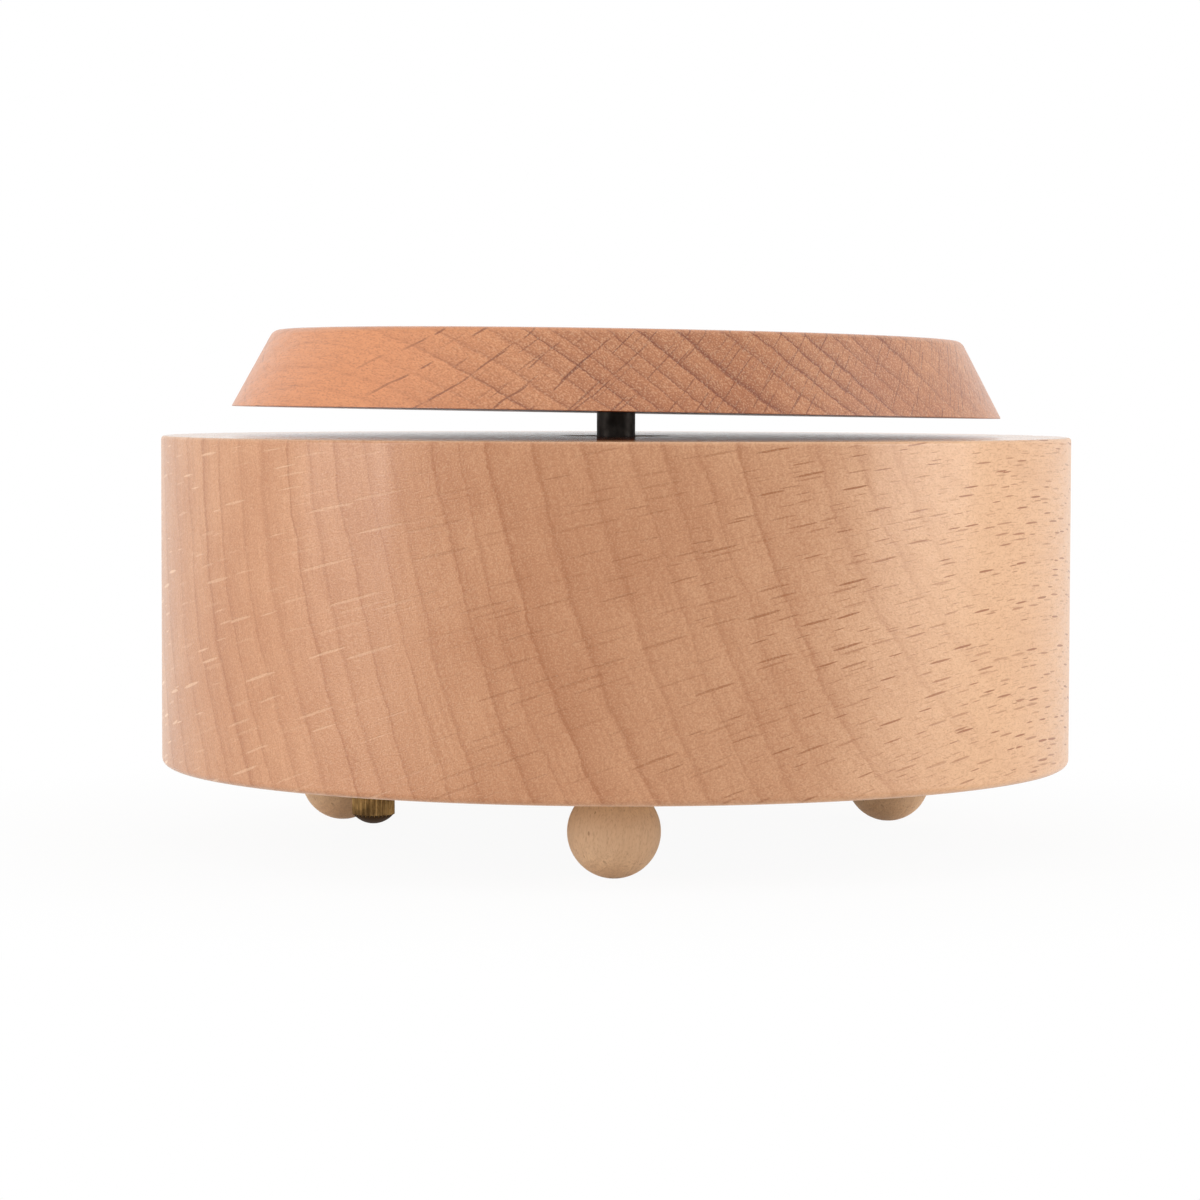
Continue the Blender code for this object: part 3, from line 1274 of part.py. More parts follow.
def build_cylinder(case):
    """The pinned cylinder, its arbor with the driven pinion, and its end gear."""
    carrier = axis("cylinder_axis", (0, 0, CYLINDER_Z), case)
    lying = (0, math.pi / 2, 0)
    radius = CYLINDER_DIAMETER / 2
    arbor_radius = CYLINDER_ARBOR_DIAMETER / 2
    at = (-CYLINDER_FAR, 0, 0)
    shell = tube(radius, arbor_radius + GAP, 0, CYLINDER_LENGTH, MEDIUM_ROUND_STEPS)
    cylinder = add_piece("pin_cylinder", shell, brass(), carrier, at, lying)
    half = PIN_WIDTH / 2
    pins = []
    for note in range(NOTE_COUNT):
        height = note_x(note) + CYLINDER_FAR
        for beat in range(PINS_PER_NOTE):
            angle = (note * PINS_PER_NOTE + beat) * PIN_TURN
            pin = block((radius - GAP, -half, height - half), (radius + PIN_HEIGHT, half, height + half))
            pins.append(moved(pin, turn=(0, 0, angle)))
    join(cylinder, together(pins), at, lying, carrier)
    near = INNER_BRACKET_NEAR
    far = OUTER_CHEEK_FAR
    arbor_at = (-far, 0, 0)
    arbor = rod(arbor_radius, 0, far - near, SMALL_ROUND_STEPS)
    add_piece("cylinder_arbor", arbor, bright_steel(), carrier, arbor_at, lying)
    bore = arbor_radius + GAP
    add_wheel(
        "cylinder_pinion", CYLINDER_PINION, 0, PINION_INNER, PINION_OUTER, bore, bright_steel(), carrier
    )
    towards_first = wheel_angle(FIRST_AXIS.x, FIRST_AXIS.y - CYLINDER_Z)
    add_wheel(
        "cylinder_gear",
        CYLINDER_GEAR,
        towards_first,
        CYLINDER_GEAR_NEAR,
        CYLINDER_GEAR_FAR,
        bore,
        brass(),
        carrier,
    )


def build_first_wheel(case):
    """The governor's first wheel, driven by the cylinder's gear."""
    carrier = axis("first_wheel_axis", (0, *FIRST_AXIS), case)
    lying = (0, math.pi / 2, 0)
    back_to_cylinder = wheel_angle(-FIRST_AXIS.x, CYLINDER_Z - FIRST_AXIS.y)
    near = CYLINDER_GEAR_NEAR - PINION_OVERHANG
    far = CYLINDER_GEAR_FAR + PINION_OVERHANG
    phase = back_to_cylinder + FIRST_PINION.tooth_angle / 2
    pinion = add_wheel("first_pinion", FIRST_PINION, phase, near, far, 0, bright_steel(), carrier)
    arbor = arbor_profile(
        INNER_CHEEK_NEAR,
        OUTER_CHEEK_FAR,
        TRAIN_ARBOR_DIAMETER / 2,
        TRAIN_PIVOT_DIAMETER / 2,
        INNER_CHEEK_FAR + GAP,
        OUTER_CHEEK_NEAR - GAP,
    )
    join(pinion, turned(arbor, TINY_ROUND_STEPS), (-OUTER_CHEEK_FAR, 0, 0), lying, carrier)
    ahead = WORM_WHEEL_AXIS - FIRST_AXIS
    bore = TRAIN_ARBOR_DIAMETER / 2 + GAP
    add_wheel(
        "first_wheel",
        FIRST_WHEEL,
        wheel_angle(ahead.x, ahead.y),
        FIRST_WHEEL_NEAR,
        FIRST_WHEEL_FAR,
        bore,
        brass(),
        carrier,
    )


def build_worm_wheel(case):
    """The worm wheel, overhung inside the inner cheek, and its pinion."""
    carrier = axis("worm_wheel_axis", (0, *WORM_WHEEL_AXIS), case)
    lying = (0, math.pi / 2, 0)
    back = FIRST_AXIS - WORM_WHEEL_AXIS
    phase = wheel_angle(back.x, back.y) + WORM_WHEEL_PINION.tooth_angle / 2
    near = FIRST_WHEEL_NEAR - PINION_OVERHANG
    far = FIRST_WHEEL_FAR + PINION_OVERHANG
    pinion = add_wheel(
        "worm_wheel_pinion", WORM_WHEEL_PINION, phase, near, far, 0, bright_steel(), carrier
    )
    wheel_near = -WORM_X - WHEEL_THICKNESS / 2
    wheel_far = -WORM_X + WHEEL_THICKNESS / 2
    radius = TRAIN_ARBOR_DIAMETER / 2
    end = wheel_near - GAP
    arbor = arbor_profile(
        end, OUTER_CHEEK_FAR, radius, TRAIN_PIVOT_DIAMETER / 2, wheel_near, OUTER_CHEEK_NEAR - GAP
    )
    join(pinion, turned(arbor, TINY_ROUND_STEPS), (-OUTER_CHEEK_FAR, 0, 0), lying, carrier)
    towards_worm = wheel_angle(1, 0)
    add_wheel(
        "worm_wheel", WORM_WHEEL, towards_worm, wheel_near, wheel_far, radius + GAP, brass(), carrier
    )


def worm_thread():
    """One right-handed thread, with a gap of it facing the worm wheel's middle tooth."""
    facing = -math.pi / 2
    half_turns = WORM_TURNS / 2
    steps = WORM_TURNS * WORM_STEPS_PER_TURN
    inner = WORM_ROOT_RADIUS - WORM_THREAD_SINK
    half = WORM_THREAD_THICKNESS / 2
    sections = []
    for step in range(steps + 1):
        turns = step / WORM_STEPS_PER_TURN - half_turns
        angle = facing + 2 * math.pi * turns
        z = WORM_LEAD * (turns + 0.5)
        root = polar(inner, angle)
        tip = polar(WORM_TIP_RADIUS, angle)
        wide = ROOT_SHARE * half
        narrow = TIP_SHARE * half
        sections.append([(*root, z - wide), (*tip, z - narrow), (*tip, z + narrow), (*root, z + wide)])
    return swept(sections)


def build_governor(case):
    """The upright worm and the two-bladed fan that it spins."""
    worm_z = WORM_WHEEL_AXIS.y
    carrier = axis("governor_axis", (WORM_X, WORM_Y, worm_z), case)
    pivot = TRAIN_PIVOT_DIAMETER / 2
    bottom = FRAME_SEAT_BOTTOM_Z - worm_z
    seat = FRAME_SEAT_TOP_Z + GAP - worm_z
    ceiling = BRACKET_FLANGE_BOTTOM_Z - GAP - worm_z
    top = BRACKET_TOP_Z - worm_z
    profile = [
        (0, bottom),
        (pivot, bottom),
        (pivot, seat),
        (WORM_ROOT_RADIUS, seat),
        (WORM_ROOT_RADIUS, ceiling),
        (pivot, ceiling),
        (pivot, top),
        (0, top),
    ]
    worm = add_piece("governor_worm", turned(profile, TINY_ROUND_STEPS), bright_steel(), carrier)
    join(worm, worm_thread(), parent=carrier)
    fan_bottom = FAN_BOTTOM_Z - worm_z
    hub = rod(FAN_HUB_DIAMETER / 2, fan_bottom, fan_bottom + FAN_HEIGHT, TINY_ROUND_STEPS)
    fan = add_piece("fan", hub, fan_plastic(), carrier)
    half = FAN_THICKNESS / 2
    blade = block(
        (-half, -FAN_DIAMETER / 2, fan_bottom + GAP),
        (half, FAN_DIAMETER / 2, fan_bottom + FAN_HEIGHT - GAP),
    )
    join(fan, blade, parent=carrier)
    bore = WORM_ROOT_RADIUS + GAP
    hole = rod(bore, fan_bottom - OVERCUT, fan_bottom + FAN_HEIGHT + OVERCUT, TINY_ROUND_STEPS)
    cut(fan, hole, parent=carrier)


def knob_ring(radius, height, depth):
    """One ring of the knob: two points to each ridge, the second one in the groove."""
    count = 2 * KNURL_RIDGES
    return [
        (*polar(radius - depth * (index % 2), 2 * math.pi * index / count), height) for index in range(count)
    ]


def build_stop(case):
    """The stop rod in its bush, and the knurled knob on its lower end."""
    bush_bottom = BASE_BOTTOM_Z + GAP
    flange_bottom = COVER_TOP_Z + GAP
    bush_top = bush_bottom + STOP_BUSH_LENGTH
    flange_top = flange_bottom + STOP_BUSH_FLANGE_THICKNESS
    bore = STOP_ROD_DIAMETER / 2 + GAP
    outer = STOP_BUSH_DIAMETER / 2
    flange = STOP_BUSH_FLANGE_DIAMETER / 2
    profile = [
        (bore, 0),
        (outer, 0),
        (outer, flange_bottom - bush_bottom),
        (flange, flange_bottom - bush_bottom),
        (flange, flange_top - bush_bottom),
        (outer, flange_top - bush_bottom),
        (outer, bush_top - bush_bottom),
        (bore, bush_top - bush_bottom),
    ]
    place = (*stop_place(), bush_bottom)
    add_piece("stop_rod_bush", turned(profile, SMALL_ROUND_STEPS), brass(), case, place)
    carrier = axis("stop_axis", (*stop_place(), 0), case)
    knob_top = BASE_BOTTOM_Z - STOP_TRAVEL - GAP
    dome_z = KNOB_TIP_HEIGHT + KNOB_DOME_HEIGHT
    bore_z = dome_z + KNOB_FLOOR
    collar_z = bush_top + GAP
    radius = STOP_ROD_DIAMETER / 2
    collar = STOP_COLLAR_DIAMETER / 2
    rod_bottom = bore_z + GAP
    profile = [
        (0, rod_bottom),
        (radius, rod_bottom),
        (radius, collar_z),
        (collar, collar_z),
        (collar, collar_z + STOP_COLLAR_HEIGHT),
        (radius, collar_z + STOP_COLLAR_HEIGHT),
        (radius, STOP_ROD_TOP_Z - radius / 2),
        (radius / 2, STOP_ROD_TOP_Z),
        (0, STOP_ROD_TOP_Z),
    ]
    add_piece("stop_rod", turned(profile, SMALL_ROUND_STEPS), brass(), carrier)
    knob_radius = KNOB_DIAMETER / 2
    shoulder = knob_radius - KNOB_CHAMFER
    dome_radius = (shoulder**2 + KNOB_DOME_HEIGHT**2) / (2 * KNOB_DOME_HEIGHT)
    dome_angle = math.asin(shoulder / dome_radius)
    rings = []
    for step in range(1, KNOB_DOME_STEPS + 1):
        angle = dome_angle * step / KNOB_DOME_STEPS
        height = KNOB_TIP_HEIGHT + dome_radius * (1 - math.cos(angle))
        rings.append(knob_ring(dome_radius * math.sin(angle), height, 0))
    rings += [
        knob_ring(knob_radius, dome_z + KNOB_CHAMFER, KNURL_DEPTH),
        knob_ring(knob_radius, knob_top - KNOB_CHAMFER, KNURL_DEPTH),
        knob_ring(shoulder, knob_top, 0),
    ]
    knob = add_piece("stop_knob", swept(rings), aged_brass(), carrier)
    cut(knob, rod(bore, bore_z, knob_top + OVERCUT, SMALL_ROUND_STEPS), parent=carrier)


def main():
    clear_scene()
    case = axis("case", (0, 0, 0))
    build_drum(case)
    build_cover(case)
    build_feet(case)
    build_bedplate(case)
    build_arbor_bush(case)
    build_barrel(case)
    build_comb(case)
    build_cylinder_brackets(case)
    build_governor_frame(case)
    build_turntable(case)
    build_cylinder(case)
    build_first_wheel(case)
    build_worm_wheel(case)
    build_governor(case)
    build_stop(case)


main()
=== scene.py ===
"""The finished look of a turntable music box: its turned wood, its metal and its plain studio."""

import logging
import math
from collections.abc import Callable, Iterable
from dataclasses import dataclass
from enum import Enum
from functools import cache

import bmesh
import bpy
from mathutils import Matrix, Vector


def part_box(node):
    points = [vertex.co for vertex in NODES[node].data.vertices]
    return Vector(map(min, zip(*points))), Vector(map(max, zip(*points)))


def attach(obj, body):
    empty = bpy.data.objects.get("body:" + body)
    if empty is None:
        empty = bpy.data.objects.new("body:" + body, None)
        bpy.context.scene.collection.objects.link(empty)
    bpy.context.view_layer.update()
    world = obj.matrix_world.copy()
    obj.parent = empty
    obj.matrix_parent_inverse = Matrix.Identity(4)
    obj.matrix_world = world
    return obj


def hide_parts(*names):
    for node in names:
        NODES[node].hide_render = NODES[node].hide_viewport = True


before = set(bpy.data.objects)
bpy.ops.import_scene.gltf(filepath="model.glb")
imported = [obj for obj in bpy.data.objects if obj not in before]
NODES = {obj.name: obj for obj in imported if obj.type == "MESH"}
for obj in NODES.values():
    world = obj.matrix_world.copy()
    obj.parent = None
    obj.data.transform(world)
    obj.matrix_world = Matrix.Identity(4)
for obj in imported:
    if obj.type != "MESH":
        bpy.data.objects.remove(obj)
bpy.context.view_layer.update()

MM = 0.001
NEAR = 1e-6
PER_MM = (1000, 1000, 1000)

Pair = tuple[float, float]
Triple = tuple[float, float, float]
Colour = tuple[float, float, float, float]
Socket = bpy.types.NodeSocket
Value = float | tuple[float, ...] | Socket
Test = Callable[[Vector, Vector], bool]
Element = bmesh.types.BMFace | bmesh.types.BMEdge | bmesh.types.BMVert

CENTRE = (0.0, 0.0)
LYING = Matrix.Rotation(math.pi / 2, 4, "Y")

log = logging.getLogger("music_box")


# Lengths, places and names


def mm(*lengths: float) -> tuple[float, ...]:
    """Lengths in metres, given in millimetres."""
    return tuple(length * MM for length in lengths)


def polar(radius: float, degrees: float) -> Pair:
    """A place this far out from the middle axis, in this direction."""
    return radius * math.cos(math.radians(degrees)), radius * math.sin(math.radians(degrees))


def off_tooth(point: Vector, teeth: int, first: float = 0.0) -> float:
    """How far round from the middle of the nearest tooth a point is, in pitches.

    Args:
        point: The point.
        teeth: Number of teeth.
        first: How far round the first tooth stands from the X axis, in pitches.

    Returns:
        From -0.5 to 0.5.
    """
    return (math.atan2(point.y, point.x) / (2 * math.pi / teeth) - first + 0.5) % 1.0 - 0.5


def stand(node: str) -> Pair:
    """Where a node's middle is, seen from above."""
    low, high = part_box(node)
    return (low.x + high.x) / 2, (low.y + high.y) / 2


def numbered(kind: str, count: int) -> tuple[str, ...]:
    """The names of nodes that are told apart by a number."""
    return tuple(f"{kind}_{number}" for number in range(1, count + 1))


FEET = ("front", "right", "left")
COVER_SCREWS = numbered("cover_screw", 3)
MOVEMENT_SCREWS = numbered("movement_screw", 3)
COMB_SCREWS = numbered("comb_screw", 2)
BEDPLATE_SCREWS = numbered("bedplate_screw", 4)
BARREL_PILLARS = numbered("barrel_pillar", 3)


# Shaping a piece at the bench


def clear_selection() -> None:
    """Leaves edit mode and deselects every object."""
    if bpy.context.mode != "OBJECT":
        bpy.ops.object.mode_set(mode="OBJECT")
    bpy.ops.object.select_all(action="DESELECT")


def on_ring(radius: float, height: float, at: Pair = CENTRE) -> Test:
    """A test for the edges of one level circle.

    Args:
        radius: Radius of the circle.
        height: Its height.
        at: Where its axis stands.

    Returns:
        A test that takes an edge's two ends.
    """

    def holds(point: Vector) -> bool:
        """Whether the point lies on the circle."""
        out = math.hypot(point.x - at[0], point.y - at[1])
        return abs(out - radius) < 2 * NEAR and abs(point.z - height) < 2 * NEAR

    return lambda a, b: holds(a) and holds(b)


def on_level(height: float) -> Test:
    """A test for the edges that lie at one height."""
    return lambda a, b: max(abs(a.z - height), abs(b.z - height)) < NEAR


class Workpiece:
    """A mesh that starts as a primitive and is shaped in edit mode."""

    def __init__(self, name: str) -> None:
        """Takes the primitive that was just added, and fixes its place in its mesh.

        Args:
            name: The name of the piece.
        """
        self.object = bpy.context.active_object
        self.object.name = name
        self.object.data.name = name
        self.settle()

    @classmethod
    def cylinder(
        cls, name: str, radius: float, low: float, high: float, sides: int, at: Pair = CENTRE
    ) -> "Workpiece":
        """Starts from an upright cylinder.

        Args:
            name: The name of the piece.
            radius: Radius of the cylinder.
            low: Height of its lower end.
            high: Height of its upper end.
            sides: Number of sides.
            at: Where its axis stands.

        Returns:
            The new piece.
        """
        clear_selection()
        bpy.ops.mesh.primitive_cylinder_add(
            vertices=sides, radius=radius, depth=high - low, location=(*at, (low + high) / 2)
        )
        return cls(name)

    @classmethod
    def cone(
        cls, name: str, low_radius: float, high_radius: float, low: float, high: float, sides: int
    ) -> "Workpiece":
        """Starts from an upright cone with its point cut off, on the middle axis.

        Args:
            name: The name of the piece.
            low_radius: Radius at the lower end.
            high_radius: Radius at the upper end.
            low: Height of the lower end.
            high: Height of the upper end.
            sides: Number of sides.

        Returns:
            The new piece.
        """
        clear_selection()
        middle = (0, 0, (low + high) / 2)
        bpy.ops.mesh.primitive_cone_add(
            vertices=sides, radius1=low_radius, radius2=high_radius, depth=high - low, location=middle
        )
        return cls(name)

    @classmethod
    def block(cls, name: str, low: Triple, high: Triple) -> "Workpiece":
        """Starts from a block.

        Args:
            name: The name of the piece.
            low: Its lowest corner.
            high: Its highest corner.

        Returns:
            The new piece.
        """
        clear_selection()
        middle = (Vector(low) + Vector(high)) / 2
        bpy.ops.mesh.primitive_cube_add(size=1, location=middle, scale=Vector(high) - Vector(low))
        return cls(name)

    @classmethod
    def ball(cls, name: str, radius: float, centre: Triple, sides: int) -> "Workpiece":
        """Starts from a ball, with half as many rings as sides.

        Args:
            name: The name of the piece.
            radius: Radius of the ball.
            centre: Its centre.
            sides: Number of sides.

        Returns:
            The new piece.
        """
        clear_selection()
        bpy.ops.mesh.primitive_uv_sphere_add(
            segments=sides, ring_count=sides // 2, radius=radius, location=centre
        )
        return cls(name)

    def activate(self) -> None:
        """Makes this piece the only one selected."""
        clear_selection()
        self.object.select_set(True)
        bpy.context.view_layer.objects.active = self.object

    def settle(self) -> None:
        """Puts the piece's place into its mesh, so that its object is at the origin."""
        self.activate()
        bpy.ops.object.transform_apply(location=True, rotation=True, scale=True)

    def _pick(self, kind: str, test: Callable[[Element], bool]) -> bool:
        """Selects the faces, edges or points that pass a test, in edit mode.

        Args:
            kind: Blender's word for the select mode.
            test: Says whether one of them is wanted.

        Returns:
            Whether any was picked.
        """
        if bpy.context.mode == "OBJECT":
            self.activate()
            bpy.ops.object.mode_set(mode="EDIT")
        bpy.ops.mesh.select_mode(type=kind)
        bpy.ops.mesh.select_all(action="DESELECT")
        mesh = bmesh.from_edit_mesh(self.object.data)
        elements = {"FACE": mesh.faces, "EDGE": mesh.edges, "VERT": mesh.verts}[kind]
        picked = [element for element in elements if test(element)]
        for element in picked:
            element.select_set(True)
        mesh.select_flush_mode()
        bmesh.update_edit_mesh(self.object.data)
        return bool(picked)

    def pick_faces(self, test: Test) -> bool:
        """Picks the faces whose middle and normal pass the test."""
        return self._pick("FACE", lambda face: test(face.calc_center_median(), face.normal))

    def pick_edges(self, test: Test) -> bool:
        """Picks the edges whose two ends pass the test."""
        return self._pick("EDGE", lambda edge: test(edge.verts[0].co, edge.verts[1].co))

    def pick_points(self, test: Callable[[Vector], bool]) -> bool:
        """Picks the points that pass the test."""
        return self._pick("VERT", lambda point: test(point.co))

    def picked_height(self) -> float:
        """Measures the picked points.

        Returns:
            Their mean height.
        """
        mesh = bmesh.from_edit_mesh(self.object.data)
        heights = [point.co.z for point in mesh.verts if point.select]
        return sum(heights) / len(heights)

    def turn(self, start: Pair, steps: Iterable[Pair], up: bool = True, at: Pair = CENTRE) -> None:
        """Draws a round end face on through rings, as a lathe would cut them.

        Args:
            start: Radius and height of the end face.
            steps: Radius and height of each ring that follows.
            up: Whether the end face looks up.
            at: Where the axis stands.
        """
        radius, level = start
        way = 1 if up else -1
        self.pick_faces(lambda middle, normal: abs(middle.z - level) < NEAR and normal.z * way > 0.99)
        for next_radius, height in steps:
            bpy.ops.mesh.extrude_region_move()
            now = self.picked_height()
            if next_radius != radius:
                grow = next_radius / radius
                bpy.ops.transform.resize(value=(grow, grow, 1), center_override=(*at, now))
            if abs(height - now) > 1e-9:
                bpy.ops.transform.translate(value=(0, 0, height - now))
            radius = next_radius

    def soften(self, width: float, test: Test, steps: int = 2) -> None:
        """Rounds edges.

        Args:
            width: Width of the round.
            test: Takes an edge's two ends, and says whether the edge is wanted.
            steps: Number of faces across the round.
        """
        if self.pick_edges(test):
            bpy.ops.mesh.bevel(
                offset=width, offset_type="OFFSET", segments=steps, profile=0.5, affect="EDGES"
            )
        else:
            log.warning("%s has no such edge to soften", self.object.name)

    def soften_ring(
        self, radius: float, height: float, width: float, steps: int = 2, at: Pair = CENTRE
    ) -> None:
        """Rounds the edges of one level circle.

        Args:
            radius: Radius of the circle.
            height: Its height.
            width: Width of the round.
            steps: Number of faces across the round.
            at: Where its axis stands.
        """
        self.soften(width, on_ring(radius, height, at), steps)

    def saw(self, at: Triple, facing: Triple, **kept: bool) -> None:
        """Cuts all of the piece along a plane.

        Args:
            at: A point in the plane.
            facing: The way that the plane faces.
            kept: What is cleared away and filled, in the words of Blender's bisect.
        """
        self.pick_faces(lambda middle, normal: True)
        bpy.ops.mesh.bisect(plane_co=at, plane_no=facing, threshold=1e-7, **kept)

    def bore(self, radius: float, low: float, high: float, at: Pair = CENTRE, sides: int = 32) -> None:
        """Drills a round upright hole.

        Args:
            radius: Radius of the hole.
            low: Height at which it starts.
            high: Height at which it ends.
            at: Where its axis stands.
            sides: Number of sides.
        """
        self.cut(Workpiece.cylinder("drill", radius, low, high, sides, at))

    def countersink(
        self,
        head: float,
        shank: float,
        low: float,
        high: float,
        at: Pair,
        sides: int = 40,
        below: float = 0.0,
        turned: float = 0.0,
    ) -> None:
        """Drills a hole for a countersunk screw whose head lies below its shank.

        Args:
            head: Radius of the hole at its lower end.
            shank: Radius of the straight part.
            low: Height of its lower end. The straight part starts as much above this as the radius shrinks.
            high: Height at which it ends.
            at: Where its axis stands.
            sides: Number of sides.
            below: How far the drill goes on, straight, below the lower end.
            turned: The angle by which the drill is turned.
        """
        bend = low + head - shank
        drill = Workpiece.cone("countersink", head, shank, low, bend, sides)
        if below:
            drill.turn((head, low), ((head, low - below),), up=False)
        drill.turn((shank, bend), ((shank, high),))
        drill.place(Matrix.Translation((*at, 0)) @ Matrix.Rotation(turned, 4, "Z"))
        self.cut(drill)

    def cut(self, cutter: "Workpiece") -> None:
        """Takes another piece's shape out of this one, and puts that piece away."""
        self._combine(cutter, "DIFFERENCE")

    def fuse(self, other: "Workpiece") -> None:
        """Makes another piece one with this one."""
        self._combine(other, "UNION")

    def _combine(self, other: "Workpiece", operation: str) -> None:
        """Applies another piece to this one, and puts that piece away.

        Args:
            other: The other piece.
            operation: Blender's word for what is done.
        """
        self.activate()
        modifier = self.object.modifiers.new("Combine", "BOOLEAN")
        modifier.operation = operation
        modifier.solver = "EXACT"
        modifier.object = other.object
        bpy.ops.object.modifier_apply(modifier=modifier.name)
        bpy.data.meshes.remove(other.object.data)

    def attach(self, others: Iterable["Workpiece"]) -> None:
        """Joins small pieces that stand in this one's surface to it.

        Args:
            others: The small pieces.
        """
        self.activate()
        for other in others:
            other.object.select_set(True)
        bpy.ops.object.join()

    def place(self, matrix: Matrix) -> None:
        """Moves or tilts the shape, and puts that into its mesh.

        Args:
            matrix: The move.
        """
        self.activate()
        self.object.matrix_world = matrix @ self.object.matrix_world
        self.settle()

    def copy(self, name: str, matrix: Matrix) -> "Workpiece":
        """Copies the piece, with a mesh of its own.

        Args:
            name: The name of the copy.
            matrix: How the copy is moved.

        Returns:
            The copy.
        """
        self.activate()
        bpy.ops.object.duplicate(linked=False)
        twin = Workpiece(name)
        twin.place(matrix)
        return twin

    def finish(self, look: "Look", body: str, node: str, smooth: float = 32.0) -> None:
        """Turns the faces outward, smooths the shading over soft edges, and dresses the piece.

        Args:
            look: What it is made of.
            body: The body that it moves with.
            node: The node that it replaces.
            smooth: The angle in degrees up to which an edge is soft.
        """
        self.activate()
        bpy.ops.object.mode_set(mode="EDIT")
        bpy.ops.mesh.select_all(action="SELECT")
        bpy.ops.mesh.remove_doubles(threshold=NEAR)
        bpy.ops.mesh.normals_make_consistent(inside=False)
        bpy.ops.object.mode_set(mode="OBJECT")
        if sum(face.center.dot(face.normal) * face.area for face in self.object.data.polygons) < 0:
            bpy.ops.object.mode_set(mode="EDIT")
            bpy.ops.mesh.select_all(action="SELECT")
            bpy.ops.mesh.flip_normals()
            bpy.ops.object.mode_set(mode="OBJECT")
        bpy.ops.object.shade_smooth_by_angle(angle=math.radians(smooth))
        modifier = self.object.modifiers.new("Shade", "WEIGHTED_NORMAL")
        modifier.keep_sharp = True
        bpy.ops.object.modifier_apply(modifier=modifier.name)
        self.object.data.materials.clear()
        self.object.data.materials.append(look.material())
        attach(self.object, body)
        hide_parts(node)
        log.info("%s: %d faces", self.object.name, len(self.object.data.polygons))


# Laying out a material


